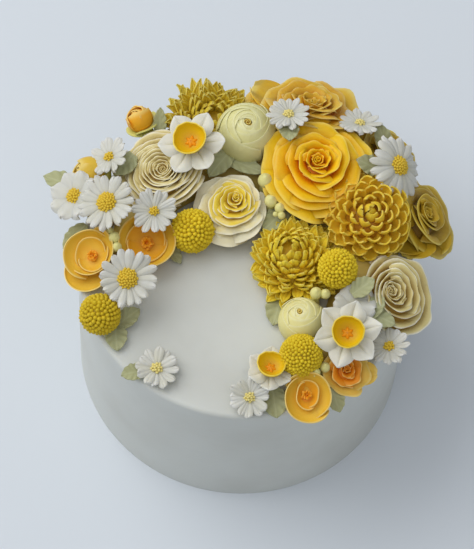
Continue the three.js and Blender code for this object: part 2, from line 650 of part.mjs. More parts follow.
const enlargedCake = drum(GAP).add(bed(GAP));
placed.push({ solid: enlargedCake, box: enlargedCake.boundingBox() });
cake.add(meshOf('cake', drum(0).add(bed(0)), IVORY));

for (const [name, form, color, sizes, at, lean, spin = 0] of FLOWERS) {
  const frame = flowerFrame(at, lean, spin);
  const end = footEnd(at, frame);
  const made = form(sizes, end);
  const solid = solidOf(made.skin.applyMatrix4(frame));
  const enlarged = solidOf(hull(made.hull, end).applyMatrix4(frame));
  cake.add(meshOf(name, fit(solid, enlarged), color));
}

for (const group of BERRIES) {
  cake.add(meshOf(group.name, fit(sprig(group), sprig(group, GAP + SPARE)), PALE_GREEN));
}

for (const blade of LEAVES) {
  cake.add(meshOf(blade.name, fit(leaf(blade), leaf(blade, GAP)), SAGE));
}

export default cake;
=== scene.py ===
import math

import bpy
import numpy as np
from mathutils import Matrix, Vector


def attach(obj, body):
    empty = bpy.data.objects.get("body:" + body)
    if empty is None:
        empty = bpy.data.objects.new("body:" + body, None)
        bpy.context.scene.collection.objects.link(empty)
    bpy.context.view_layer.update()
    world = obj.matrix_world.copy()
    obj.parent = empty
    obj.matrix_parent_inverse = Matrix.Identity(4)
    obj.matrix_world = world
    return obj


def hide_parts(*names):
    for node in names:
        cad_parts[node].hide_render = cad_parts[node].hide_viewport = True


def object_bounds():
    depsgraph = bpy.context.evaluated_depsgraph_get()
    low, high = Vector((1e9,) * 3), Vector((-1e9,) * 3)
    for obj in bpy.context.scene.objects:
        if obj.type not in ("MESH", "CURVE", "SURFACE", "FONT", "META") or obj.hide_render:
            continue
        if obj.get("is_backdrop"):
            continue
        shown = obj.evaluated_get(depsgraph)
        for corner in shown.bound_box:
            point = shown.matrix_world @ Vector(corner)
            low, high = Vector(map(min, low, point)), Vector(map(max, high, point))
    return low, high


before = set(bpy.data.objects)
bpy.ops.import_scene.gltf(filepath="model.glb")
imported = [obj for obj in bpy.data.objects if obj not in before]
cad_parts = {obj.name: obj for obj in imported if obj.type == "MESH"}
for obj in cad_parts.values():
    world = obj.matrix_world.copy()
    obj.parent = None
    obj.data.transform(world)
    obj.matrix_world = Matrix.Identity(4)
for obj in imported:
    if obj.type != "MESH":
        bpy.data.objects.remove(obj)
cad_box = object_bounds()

MM = 0.001
TAU = 2 * math.pi
SHARPEST_SMOOTH = 1.15
CAKE_RADIUS = 75
CAKE_HEIGHT = 91
CAKE_SIDES = 180
EDGE_ROUND = 2
EVEN_FOOT = 12
SIDE_WAVE = 0.0022
TOP_WAVE = 0.22
BED_RADIUS = 53
BED_HALF_WIDTH = 17
BED_HEIGHT = 9
BED_SUNK = 1
BED_LUMPS = 0.5
BED_FROM = -88
BED_TO = 212


def ringed(index):
    """A grid of corner numbers with its first column again at its end."""
    return np.concatenate([index, index[:, :1]], axis=1)


def quads(index):
    """The four-cornered faces between the rows and columns of a grid of corner numbers."""
    corners = [index[:-1, :-1], index[1:, :-1], index[1:, 1:], index[:-1, 1:]]
    return np.stack([corner.ravel() for corner in corners], axis=1)


class Piece:
    """Skins of cream gathered into one object. Their points are millimetres in the piece's own frame."""

    def __init__(self, place=None):
        self.place = np.eye(4) if place is None else place
        self.points, self.faces, self.marks, self.skins = [], [], [], []
        self.count = 0

    def add(self, points, faces, rim=0.0, tone=0.5, deep=0.5, skin=0):
        points = np.asarray(points, float).reshape(-1, 3)
        marks = [np.broadcast_to(np.ravel(mark), len(points)) for mark in (rim, tone, deep)]
        self.points.append(points @ self.place[:3, :3].T + self.place[:3, 3])
        self.marks.append(np.stack(marks, axis=1))
        self.faces += [[corner + self.count for corner in face] for face in faces]
        self.skins += [skin] * len(faces)
        self.count += len(points)

    def shell(self, grid, thick, rim=0.0, ring=False, **marks):
        """A thin closed sheet about a grid of points. A ring's last column joins its first."""
        rows, columns = grid.shape[:2]
        along = np.gradient(grid, axis=0)
        across = np.roll(grid, -1, 1) - np.roll(grid, 1, 1) if ring else np.gradient(grid, axis=1)
        normal = np.cross(along, across)
        normal /= np.maximum(np.linalg.norm(normal, axis=2, keepdims=True), 1e-9)
        half = 0.5 * np.broadcast_to(thick, (rows, columns))[..., None] * normal
        index = np.arange(rows * columns).reshape(rows, columns)
        if ring:
            index = ringed(index)
            paths = [index[0], index[-1][::-1]]
        else:
            paths = [np.concatenate([index[0, :-1], index[:-1, -1], index[-1, :0:-1], index[::-1, 0]])]
        top = quads(index)
        faces = [top, top[:, ::-1] + rows * columns]
        for path in paths:
            start, end = path[:-1], path[1:]
            faces.append(np.stack([start, end, end + rows * columns, start + rows * columns], axis=1))
        rim = np.broadcast_to(rim, (rows, columns)).ravel()
        points = np.concatenate([(grid + half).reshape(-1, 3), (grid - half).reshape(-1, 3)])
        self.add(points, np.concatenate(faces).tolist(), rim=np.concatenate([rim, rim]), **marks)

    def solid(self, grid, **marks):
        """A closed solid from a stack of rings, with a flat cap at each end."""
        rows, columns = grid.shape[:2]
        index = np.arange(rows * columns).reshape(rows, columns)
        faces = quads(ringed(index)).tolist()
        self.add(grid, faces + [index[0].tolist(), index[-1][::-1].tolist()], **marks)

    def make(self, name, node, slot, *finishes):
        mesh = bpy.data.meshes.new(name)
        mesh.from_pydata((np.concatenate(self.points) * MM).tolist(), [], self.faces)
        marks = np.concatenate(self.marks)
        for column, label in enumerate(("rim", "tone", "deep")):
            mark = mesh.attributes.new(label, "FLOAT", "POINT")
            mark.data.foreach_set("value", np.ascontiguousarray(marks[:, column], dtype=np.float32))
        for finish in finishes:
            mesh.materials.append(finish.material)
        mesh.polygons.foreach_set("material_index", self.skins)
        mesh.shade_smooth()
        mesh.set_sharp_from_angle(angle=SHARPEST_SMOOTH)
        piece = bpy.data.objects.new(name, mesh)
        bpy.context.scene.collection.objects.link(piece)
        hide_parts(node)
        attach(piece, "root")


class Wire:
    """A socket in a finish. Python expressions on it add Math nodes."""

    def __init__(self, finish, socket):
        self.finish = finish
        self.socket = socket

    def math(self, operation, *values):
        return self.finish.node("ShaderNodeMath", {"operation": operation}, dict(enumerate(values)))

    def __add__(self, other):
        return self.math("ADD", self, other)

    def __sub__(self, other):
        return self.math("SUBTRACT", self, other)

    def __rsub__(self, other):
        return self.math("SUBTRACT", other, self)

    def __mul__(self, other):
        return self.math("MULTIPLY", self, other)

    def __pow__(self, other):
        return self.math("POWER", self, other)

    __radd__ = __add__
    __rmul__ = __mul__

    def between(self, low, high):
        """0 below low, 1 above high, and smooth in between."""
        settings = {"interpolation_type": "SMOOTHSTEP"}
        return self.finish.node("ShaderNodeMapRange", settings, {0: self, 1: low, 2: high})


class Finish:
    """A procedural material on one Principled shader."""

    def __init__(self, name, **constants):
        self.material = bpy.data.materials.new(name)
        self.material.use_nodes = True
        self.tree = self.material.node_tree
        self.shader = self.tree.nodes["Principled BSDF"]
        for socket, value in constants.items():
            self.shader.inputs[socket.replace("_", " ")].default_value = value

    def node(self, kind, settings, inputs, out=0):
        node = self.tree.nodes.new(kind)
        for key, value in settings.items():
            setattr(node, key, value)
        for socket, value in inputs.items():
            if isinstance(value, Wire):
                self.tree.links.new(value.socket, node.inputs[socket])
            else:
                node.inputs[socket].default_value = value
        return Wire(self, node.outputs[out])

    def mark(self, label):
        return self.node("ShaderNodeAttribute", {"attribute_name": label}, {}, "Fac")

    def mix(self, first, second, share):
        return self.node("ShaderNodeMix", {"data_type": "RGBA"}, {0: share, 6: first, 7: second}, 2)

    def noise(self, scale, detail=2.0, stretch=None):
        place = self.node("ShaderNodeTexCoord", {}, {}, "Object")
        if stretch:
            place = self.node("ShaderNodeVectorMath", {"operation": "MULTIPLY"}, {0: place, 1: stretch})
        return self.node("ShaderNodeTexNoise", {}, {"Vector": place, "Scale": scale, "Detail": detail})

    def bump(self, height, distance, strength):
        inputs = {"Height": height, "Distance": distance, "Strength": strength}
        self.drive("Normal", self.node("ShaderNodeBump", {}, inputs))

    def drive(self, socket, wire):
        self.tree.links.new(wire.socket, self.shader.inputs[socket])


def tint(code):
    """A colour written as on a colour chart, turned into linear light."""
    parts = [int(code[start:start + 2], 16) / 255 for start in (1, 3, 5)]
    return (*[part / 12.92 if part <= 0.04045 else ((part + 0.055) / 1.055) ** 2.4 for part in parts], 1)


LIGHT_SINKS = (1.0, 0.85, 0.6)
KNIFE_STRETCH = (1, 1, 22)


def icing(name, body, shade):
    """Smoothed buttercream: slow drifts between two tones, faint knife lines and tiny pits."""
    finish = Finish(name, Subsurface_Weight=0.12, Subsurface_Scale=0.004, Subsurface_Radius=LIGHT_SINKS,
                    Specular_IOR_Level=0.35)
    cloud = finish.noise(22, 3)
    finish.drive("Base Color", finish.mix(tint(body), tint(shade), cloud.between(0.4, 0.75)))
    finish.drive("Roughness", cloud * 0.16 + 0.46)
    knife = finish.noise(30, stretch=KNIFE_STRETCH)
    finish.bump(knife * 0.8 + finish.noise(900) * 0.25, 0.0004, 0.5)
    return finish


def waver(x, y, size, seed):
    """A smooth uneven height over a plane, about -1 to 1, with lumps of the given size."""
    draw = np.random.default_rng(seed).uniform
    total = 0
    for _ in range(7):
        bearing, phase = draw(0, TAU, 2)
        step = TAU / size * draw(0.6, 1.5)
        total = total + np.sin(step * (x * math.cos(bearing) + y * math.sin(bearing)) + phase)
    return total / 4


def full_turn(sides):
    """The bearings of evenly spaced points round an axis."""
    return TAU * np.arange(sides) / sides


def around(radius, bearing, height, middle=(0, 0)):
    """A grid of points from their distance and bearing about an upright axis, and their height."""
    x = radius * np.cos(bearing) + middle[0]
    y = radius * np.sin(bearing) + middle[1]
    return np.stack(np.broadcast_arrays(x, y, height), axis=2)


cake = Piece()
turn = full_turn(CAKE_SIDES)
corner = np.radians(np.linspace(0, 90, 7))
side = [(CAKE_RADIUS, height) for height in np.linspace(0, CAKE_HEIGHT - EDGE_ROUND, 26)]
edge = [(CAKE_RADIUS - EDGE_ROUND * (1 - math.cos(angle)), CAKE_HEIGHT - EDGE_ROUND * (1 - math.sin(angle)))
        for angle in corner[1:]]
lid = [(radius, CAKE_HEIGHT) for radius in np.linspace(CAKE_RADIUS - EDGE_ROUND, 1, 30)[1:]]
profile = np.array(side + edge + lid)
radius, height = profile[:, :1], profile[:, 1:]
fade = np.clip(height / EVEN_FOOT, 0, 1)
radius = radius * (1 + SIDE_WAVE * fade * waver(CAKE_RADIUS * turn, height, size=60, seed=3))
height = height + TOP_WAVE * fade * waver(radius * np.cos(turn), radius * np.sin(turn), size=45, seed=5)
cake.solid(around(radius, turn, height))

share = np.linspace(0, 1, 90)[:, None]
arch = full_turn(28)
bearing = np.radians(BED_FROM + (BED_TO - BED_FROM) * share)
swell = np.sin(np.pi / 2 * np.clip(np.minimum(share, 1 - share) * 2.4, 0.06, 1))
across = BED_RADIUS + swell * BED_HALF_WIDTH * np.cos(arch)
above = swell * (BED_HEIGHT + BED_SUNK) * np.maximum(np.sin(arch), -0.2) - BED_SUNK
lumps = waver(across * np.cos(bearing), across * np.sin(bearing), size=14, seed=8)
above = above + BED_LUMPS * swell * (above > 0) * lumps
bed = around(across, bearing, CAKE_HEIGHT + above)
cake.solid(bed[:, ::-1], skin=1)
ivory = icing("ivory_buttercream", "#d0d2cc", "#c8c9c2")
# The bed's ochre is painted shade with orange reflected light, for the deep gaps between the flowers where
# it shows.
bed_gap_shade = icing("bed_painted_gap_shade", "#cdb65e", "#b9983a")
cake.make("iced_cake", "cake", "ivory_cream", ivory, bed_gap_shade)

# The daisies
# Each is a ring of white tongues of stiff buttercream, piped from the middle outwards on a flower nail.
# The narrow kind has a wide dome of tiny golden dots, and the broad kind has wide petals round a small one.
FOOT_INSIDE = 10
FOOT_DEPTH = 5
GOLDEN_TURN = 2.39996
DOT_OUTLINE = [(0.7, -0.5), (1.0, 0.1), (0.82, 0.6), (0.42, 0.93)]
DOT_TIP = 1.12
ASKEW = (0.31, 0.52, 0.79)
# name, reach, disc, petals, place over the cake's top, lean (bearing, tilt), turn, droop
DAISY_ROWS = [
    ("daisy_left_large", 13.5, 4.8, 19, (-63.5, 15, 20), (-150, 22), 0, 0),
    ("daisy_left_inner", 10.5, 2.2, 15, (-42.5, 12.5, 20), (-85, 18), 10, 0),
    ("daisy_left_front", 13.5, 4.8, 17, (-51.5, -20, 17), (-85, 20), 5, 0),
    ("daisy_back", 10, 2.4, 15, (14, 61.5, 28), (95, 14), 0, 0),
    ("daisy_right_large", 14.8, 4.7, 18, (64.6, 42.9, 22.6), (-6, 38), 4, 0.34),
    ("daisy_right_back", 10, 2.2, 11, (46.5, 65, 18), (85, 28), 0, 0),
    ("daisy_front_right", 9.5, 2.4, 12, (6, -67, 5), (-95, 22), 0, 0),
    ("daisy_left_back", 10, 2.4, 12, (-64.5, 40, 15), (172, 28), 0, 0),
    ("daisy_right_front", 9.8, 2.4, 12, (65.8, -38.6, 6.4), (165, 15), 0, 0),
    ("daisy_alone", 9.8, 2.6, 12, (-35.7, -56, 3.2), (-90, 3), 0, 0),
]
SMALL_DISC = 4
PALE_DISCS = ("daisy_back", "daisy_alone", "daisy_right_back", "daisy_front_right")


def piped(name, sheer=0.15):
    """Any piped buttercream: it shines faintly and lets a little light in."""
    return Finish(name, Subsurface_Weight=sheer, Subsurface_Scale=0.003, Subsurface_Radius=LIGHT_SINKS,
                  Specular_IOR_Level=0.3)


def cream(name, base, body, edge, edge_from=0.72, patch=0.3, rough=0.48, sheer=0.15, body_from=0.62):
    """Piped buttercream of one colour, paler along its free edge. Its deeper base colour, where the rim mark
    is low, is painted shade at the petal roots and between the petals.
    """
    finish = piped(name, sheer)
    rim, tone = finish.mark("rim"), finish.mark("tone")
    cloud = finish.noise(260)
    # Painted shade: the base colour wherever the rim mark is low.
    colour = finish.mix(tint(base), tint(body), rim.between(0.0, body_from))
    colour = finish.mix(colour, tint(edge), rim.between(edge_from, 1.0))
    colour = finish.mix(colour, tint(base), (tone * 0.6 + cloud * 0.7) ** 2 * patch)
    finish.drive("Base Color", colour)
    finish.drive("Roughness", cloud * 0.2 + (rough - 0.1))
    finish.bump(finish.noise(1100, 3) * 0.6 + cloud, 0.00035, 0.45)
    return finish


def placed(at, lean, spin=0):
    """The frame of a flower: its middle over the cake's top, its lean towards a bearing, and its turn."""
    bearing, tilt = np.radians(lean)
    leaning = Matrix.Rotation(tilt, 3, (-math.sin(bearing), math.cos(bearing), 0))
    place = np.eye(4)
    place[:3, :3] = leaning @ Matrix.Rotation(math.radians(spin), 3, "Z")
    place[:3, 3] = at[0], at[1], CAKE_HEIGHT + at[2]
    return place


def foot(piece, at, radius, height, skin=0):
    """The cone of cream under a flower, from its petals down to its end inside the cake."""
    inwards = min(1, (CAKE_RADIUS - FOOT_INSIDE) / math.hypot(at[0], at[1]))
    inside = (at[0] * inwards, at[1] * inwards, CAKE_HEIGHT - FOOT_DEPTH, 1)
    end = (np.linalg.inv(piece.place) @ inside)[:3]
    share = np.linspace(0, 1, 7)[:, None]
    turn = full_turn(18)
    girth = radius * (1 - 0.3 * share) * (1 + 0.04 * np.sin(3 * turn + 9 * share))
    wall = around(girth, turn, (1 - share) * height) + share[..., None] * end
    piece.solid(wall[:, ::-1], rim=0.4, skin=skin)


def petal_grid(rows, columns):
    """How far the rows are along a petal, from 0 to 1, and the columns across it, from -1 to 1."""
    return np.linspace(0, 1, rows)[:, None], np.linspace(-1, 1, columns)


def swelling(along, full_at=1):
    """A petal's rise from 0 at its root to 1, which it keeps from full_at on."""
    return np.sin(np.pi / 2 * np.minimum(1, along / full_at))


def rounded_end(along, shoulder, beyond=1.005, least=0.05):
    """1 up to the shoulder, then down along an arc that would meet 0 a little beyond the petal's end."""
    return np.sqrt(np.maximum(least, 1 - (np.maximum(0, along - shoulder) / (beyond - shoulder)) ** 2))


def ridge(side, width):
    """A soft ridge of height 1 along the middle."""
    return np.exp(-(side / width) ** 2)


def tongue(piece, bearing, path, half_width, bend, thick, middle=(0, 0), **marks):
    """A petal along a path of [radius, height] rows, bent by a grid of lifts off that path."""
    slope = np.gradient(path, axis=0)
    slope /= np.linalg.norm(slope, axis=1, keepdims=True)
    bend = np.atleast_2d(bend)
    radius = path[:, :1] - bend * slope[:, 1:]
    height = path[:, 1:] + bend * slope[:, :1]
    offset = half_width * np.linspace(-1, 1, bend.shape[1])
    c, s = np.cos(bearing), np.sin(bearing)
    x = radius * c - offset * s + middle[0]
    y = radius * s + offset * c + middle[1]
    piece.shell(np.stack([x, y, height], axis=2), thick, **marks)


def dots(piece, centres, axes, size, tall=1.0, sides=7, **marks):
    """Tiny piped dots: rounded, each drawn up to a blunt tip along its axis."""
    outline = np.array(DOT_OUTLINE)
    turn = full_turn(sides)[:, None]
    tip = len(outline) * sides
    index = np.arange(tip).reshape(-1, sides)
    faces = quads(ringed(index))[:, ::-1].tolist()
    faces += [[tip, index[-1, side], index[-1, (side + 1) % sides]] for side in range(sides)]
    faces.append(index[0].tolist()[::-1])
    for centre, axis, reach in zip(centres, axes, np.broadcast_to(size, len(centres))):
        axis = axis / np.linalg.norm(axis)
        level = np.cross(axis, ASKEW)
        level /= np.linalg.norm(level)
        other = np.cross(axis, level)
        wall = outline[:, :1, None] * (np.cos(turn) * level + np.sin(turn) * other)
        wall = wall + tall * outline[:, 1:, None] * axis
        points = np.concatenate([wall.reshape(-1, 3), [DOT_TIP * tall * axis]]) * reach + centre
        piece.add(points, faces, **marks)


def disc_of_dots(piece, radius, dome, base, count, size, **marks):
    """A dome covered with dots in a sunflower spiral, over a plain low mound."""
    number = np.arange(count) + 0.5
    reach = radius * np.sqrt(number / count)
    angle = GOLDEN_TURN * number
    height = base + dome * (1 - (reach / radius) ** 2)
    centres = np.stack([reach * np.cos(angle), reach * np.sin(angle), height], axis=1)
    dots(piece, centres, centres * (1, 1, 0) * (1.2 / radius) + (0, 0, 1), size, **marks)
    share = np.linspace(1, 0.05, 6)[:, None]
    mound = around(radius * share, full_turn(20), base - 0.3 + dome * (1 - share ** 2))
    under = mound[:1] * (1, 1, 0) + (0, 0, base - 1.5)
    piece.solid(np.concatenate([under, mound]), **marks)


# The white's yellow-grey base colour is painted shade near the petal roots.
white = cream("white_buttercream", "#b5af87", "#cfcec5", "#d9d8d2", patch=0.25)
golden_dots = cream("golden_dots", "#cc9e1e", "#e4c23c", "#ecd664", rough=0.6)
pale_dots = cream("pale_dots", "#d8bc58", "#ecdc8c", "#f2e8b0", rough=0.6)
# The feet are painted the dull ochre of the shaded gaps between the flowers: painted shade.
foot_gap_shade = cream("foot_painted_gap_shade", "#b39a48", "#c6b264", "#d2c07a")

for number, (name, r, disc, petals, at, lean, spin, droop) in enumerate(DAISY_ROWS):
    draw = np.random.default_rng(100 + number).uniform
    daisy = Piece(placed(at, lean, spin))
    along, side = petal_grid(12, 9)
    if disc < SMALL_DISC:
        start, breadth, shoulders, disc_count = 0.1 * r, 1.0, (0.74, 0.8), 16
        furrow = -0.3 * ridge(side, 0.24)
    else:
        start, breadth, shoulders, disc_count = 0.6 * disc, 1.06, (0.58, 0.78), 52
        furrow = 0.204 * np.cos(1.5 * np.pi * side) ** 2
    for petal in range(petals):
        bearing = TAU * (petal + draw(-0.2, 0.2)) / petals
        reach = r * draw(0.87, 1.02)
        widest = math.pi * draw(0.64, 0.84) * r / petals * breadth
        climb = draw(-0.06, 0.1) * r + 0.5 * (petal % 2)
        lift = r * (0.1 * along ** 1.6 - droop * along ** 2) + climb * along
        path = np.hstack([start + (reach - start) * along, 0.4 + lift])
        shoulder = draw(*shoulders)
        half_width = widest * (0.3 + 0.7 * swelling(along, 0.72)) * rounded_end(along, shoulder)
        bend = (0.16 - 0.42 * side ** 2 + furrow) * (0.35 + 0.65 * along)
        bend = widest * (bend + draw(-0.4, 0.4) * side * along)
        tongue(daisy, bearing, path, half_width, bend, 1.0 - 0.45 * along ** 2 - 0.2 * side ** 2,
               rim=0.25 + 0.75 * along, tone=draw(0, 1))
    dot_size = 1.15 * disc / math.sqrt(disc_count)
    disc_of_dots(daisy, 0.92 * disc, 0.46 * disc, 0.9, disc_count, dot_size, rim=0.5, tone=0.4, skin=1)
    foot(daisy, at, 0.28 * r, -0.6, skin=2)
    disc_dots = pale_dots if name in PALE_DISCS else golden_dots
    daisy.make("white_" + name, name, "white_petals", white, disc_dots, foot_gap_shade)

# The puffy blossoms
# Eight broad white petals on the left one and six on the right one, piped with a wide tip so that they swell
# and overlap at their sides. Their middles are the same golden dots as on the daisies.

# name, reach, disc, petals, place, lean, turn
BLOSSOM_ROWS = [
    ("blossom_left", 12.2, 4.0, 8, (-78.5, 22.5, 8), (-172, 30), 0),
    ("blossom_right", 9.6, 2.2, 6, (49.2, -23, 12.8), (-95, 8), 20),
]
BLOSSOM_DOTS = 34

for number, (name, r, disc, petals, at, lean, spin) in enumerate(BLOSSOM_ROWS):
    draw = np.random.default_rng(200 + number).uniform
    blossom = Piece(placed(at, lean, spin))
    along, side = petal_grid(15, 13)
    half_width = 3.1 / petals * r * (0.3 + 0.7 * swelling(along, 0.5)) * rounded_end(along, 0.55, least=0.04)
    for petal in range(petals):
        bearing = TAU * (petal + 0.5) / petals
        reach = r * draw(0.94, 1.0)
        lift = (0.05 + 0.16 * along ** 1.3) * r + 0.6 * (petal % 2)
        path = np.hstack([0.5 * disc + (reach - 0.5 * disc) * along, lift])
        ruffle = 0.035 * np.sin(7 * side + draw(0, TAU)) * along ** 2
        bend = r * (0.1 * (1 - 2.2 * side ** 2) * along + ruffle + 0.01 * np.cos(20 * side) * along)
        tongue(blossom, bearing, path, half_width, bend, 1.5 - 0.8 * along ** 2 - 0.2 * side ** 2,
               rim=0.3 + 0.7 * along, tone=draw(0, 1))
    dot_size = 1.1 * disc / math.sqrt(BLOSSOM_DOTS)
    disc_of_dots(blossom, 0.9 * disc, 0.4 * disc, 0.12 * r, BLOSSOM_DOTS, dot_size, rim=0.5, skin=1)
    foot(blossom, at, 0.4 * r, -1.6, skin=2)
    blossom.make("puffy_" + name, name, "white_petals", white, golden_dots, foot_gap_shade)

# The daffodils
# Six soft-pointed white petals in two threes carry a deep golden trumpet with a thin wavy rim.
# A small orange star is piped in the bottom of the trumpet.

# name, reach, trumpet, place, lean, turn, breadth of a petal, how blunt its point is
DAFFODIL_ROWS = [
    ("daffodil_left", 15.3, 7, (-28, 44.9, 25.4), (-153, 14), 4, 0.35, 2.6),
    ("daffodil_right", 15.5, 6.6, (46.5, -38.5, 17), (-90, 16), 18, 0.37, 1.8),
    ("daffodil_front", 10.8, 5.8, (14, -55, 9), (60, 6), 30, 0.42, 2.2),
]
# The petals' grey-green base colour is painted shade near the roots and along each petal's middle crease.
petal_white = cream("daffodil_petals", "#bcb98e", "#dfddd1", "#e6e5dd", edge_from=0.8, patch=0.25)
trumpet_gold = cream("daffodil_trumpet", "#d6a00a", "#e4be10", "#eed24c", edge_from=0.9)
star_orange = cream("daffodil_star", "#f0900c", "#f49c10", "#f8b024", patch=0.2)

for number, (name, r, cup, at, lean, spin, broad, blunt) in enumerate(DAFFODIL_ROWS):
    draw = np.random.default_rng(300 + number).uniform
    daffodil = Piece(placed(at, lean, spin))
    along, side = petal_grid(16, 13)
    half_width = broad * r * (0.35 + 0.65 * swelling(along, 0.55))
    half_width = half_width * np.maximum(0.05, 1 - np.maximum(0, (along - 0.5) / 0.5) ** blunt)
    for petal in range(6):
        bearing = TAU * (petal * 2 % 6 + petal // 3 + 3) / 6
        reach = r * draw(0.96, 1.02)
        lift = 0.9 * (petal < 3) + 0.1 * r * along ** 3 + draw(-0.02, 0.03) * r * along
        path = np.hstack([0.2 * r + (reach - 0.2 * r) * along, lift - 0.2])
        crease = draw(-0.05, 0.05) * side * along - 0.07 * ridge(side, 0.13)
        hollow = 0.035 * np.sin(4 * side + 2 * petal) - 0.07 * side ** 2
        ripple = 0.02 * np.sin(9 * along + 3 * petal) * side * along
        bend = r * ((crease + hollow) * np.sin(np.pi * along ** 0.7) + ripple)
        # The rim mark is lower along the middle crease, so the painted shade of the base colour runs down
        # it.
        tongue(daffodil, bearing, path, half_width, bend, 1.2 - 0.6 * along ** 2 - 0.2 * side ** 2,
               rim=(0.15 + 0.85 * along) * (1 - 0.35 * ridge(side, 0.12)), tone=draw(0, 1))
    turn = full_turn(48)
    rise = np.linspace(0, 1, 9)[:, None]
    frill = (0.05 * np.cos(3 * turn) + 0.02 * np.cos(11 * turn + number)) * rise ** 2
    wall = cup * (0.1 + 0.9 * swelling(rise) ** 0.7 + 0.06 * rise ** 4 + 0.6 * frill)
    tall = cup * (0.24 + 0.8 * rise ** 1.5 + frill)
    daffodil.shell(around(wall, turn, tall), 0.9 - 0.35 * rise, rim=rise, ring=True, tone=0.4, skin=1)
    along, side = petal_grid(7, 5)
    path = cup * np.hstack([0.02 + 0.38 * along, 0.44 - 0.1 * along ** 1.5])
    half_width = 0.12 * cup * (1 - 0.8 * along ** 2)
    for arm in range(6):
        bearing = TAU * arm / 6 + 0.3
        tongue(daffodil, bearing, path, half_width, -0.12 * cup * side ** 2, 0.7, rim=0.5, skin=2)
    foot(daffodil, at, 0.32 * r, -0.8)
    daffodil.make("piped_" + name, name, "white_petals", petal_white, trumpet_gold, star_orange)

# The roses
# Petal after petal is laid round a small coiled heart, each thick at its root and thin at its rim.
# Each whorl opens wider and lower than the one inside it, and some roses have single petals laid outwards.

# name, reach, place, lean, heart off centre, colour, side petals, whorls
# A side petal is its bearing, reach, breadth and own lean. A whorl is its petals and its rim.
ROSE_ROWS = [
    ("rose_large", 24, (28.5, 41, 19), (-90, 4), (0, 0.02), "golden", [],
     [(2, 0.1), (3, 0.21), (3, 0.36), (3, 0.56), (4, 0.76), (4, 0.86), (5, 1.0)]),
    ("rose_pale", 16, (-9, 21, 11), (-120, 12), (0.2, 0.27), "pale", [],
     [(2, 0.09), (2, 0.2), (3, 0.34), (3, 0.5), (3, 0.65), (4, 0.82), (4, 1.0)]),
    ("rose_back", 25, (22, 75.5, 11), (80, 32), (0.1, -0.34), "amber", [(160, 1.08, 0.5, (80, 32))],
     [(2, 0.08), (3, 0.2), (3, 0.36), (3, 0.54), (3, 0.76), (4, 1.0)]),
    ("rose_olive", 13, (61.5, 60.5, 4), (35, 34), (0, 0), "olive", [(168, 1.4, 0.7, (20, 8))],
     [(2, 0.1), (3, 0.26), (3, 0.48), (4, 0.74), (4, 1.0)]),
    ("rose_mustard", 18.5, (80, 30, 0), (10, 46), (-0.4, -0.22), "olive",
     [(-131, 1.34, 0.62, (49, 7)), (-110, 1.3, 0.55, (66, 5)), (-66, 0.98, 0.5, (-40, 28))],
     [(2, 0.12), (2, 0.27), (2, 0.48), (3, 0.74), (4, 1.03)]),
    ("rose_orange", 10.8, (47.5, -51.5, 4.5), (-60, 24), (-0.05, 0.15), "orange", [(5, 1.3, 0.5, (-60, 24))],
     [(2, 0.12), (2, 0.3), (3, 0.6), (3, 0.95)]),
]
ROSE_WAVES = {"golden": 1.7, "amber": 2.4, "orange": 3.6, "olive": 1.6, "pale": 2.0}
ROSE_SLOTS = {"golden": "golden_petals", "pale": "pale_yellow_petals", "amber": "golden_petals",
              "olive": "olive_petals", "orange": "orange_petals"}
WHORL_HEIGHT = 0.42
PETAL_DEPTH = 0.3
WHORL_TURN = 2.2


def two_tone(name, inner, outer, edge, base):
    """Buttercream of two colours in one bag: the heart's colour gives way to the outer petals' colour."""
    finish = piped(name)
    rim, tone, deep = finish.mark("rim"), finish.mark("tone"), finish.mark("deep")
    cloud = finish.noise(240)
    body = finish.mix(tint(inner), tint(outer), (deep + (cloud - 0.5) * 0.4).between(0.56, 0.96))
    # Painted shade: the base colour at the petal roots, where rim is low, and more of it on the inner
    # whorls.
    colour = finish.mix(tint(base), body, (rim + deep * 0.5).between(0.05, 0.75))
    colour = finish.mix(colour, tint(edge), rim.between(0.88, 1.0))
    colour = finish.mix(colour, tint(base), (tone * 0.5 + cloud * 0.6) ** 2 * 0.25)
    finish.drive("Base Color", colour)
    finish.drive("Roughness", cloud * 0.2 + 0.42)
    finish.bump(finish.noise(1100, 3) * 0.5 + cloud, 0.0003, 0.4)
    return finish


def curved(piece, bearing, half_span, radius, height, thick, middle=(0, 0), **marks):
    """A petal that bends round the flower's axis: radius and height are grids over its rise and width."""
    angle = bearing + half_span * np.linspace(-1, 1, radius.shape[1])
    piece.shell(around(radius, angle, height, middle), thick, **marks)


def coil(piece, r, turns, radii, heights, heart=(0, 0), light=1.0, **marks):
    """A flower's heart: a strip of cream wound up tightly. Radii, heights and place are shares of r."""
    inner, outer = radii
    low, high = heights
    share = np.linspace(0, 1, int(26 * turns))
    rise = np.linspace(0, 1, 5)[:, None]
    angle = TAU * turns * share
    radius = r * (inner + (outer - inner) * share) * (0.86 + 0.14 * rise)
    height = r * (low + (high - low) * rise * (1 - 0.16 * share) + 0.012 * np.sin(5 * angle) * rise)
    piece.shell(around(radius, angle, height, [part * r for part in heart]), 0.7 - 0.35 * rise,
                rim=light * (0.2 + 0.8 * rise), **marks)


def nail_ball(piece, r, girth, low, top, power, heart=(0, 0), **marks):
    """The ball of cream on the flower nail, which the petals are laid on. Sizes are shares of r."""
    core = np.linspace(1, 0.06, 10)[:, None]
    level = r * (low + (top - low) * (1 - core ** power))
    dome = around(girth * r * core, full_turn(28), level, [(1 - core) * part * r for part in heart])
    belly = dome[:1] * (0.8, 0.8, 1) - (0, 0, 0.2 * r)
    piece.solid(np.concatenate([belly, dome]), **marks)


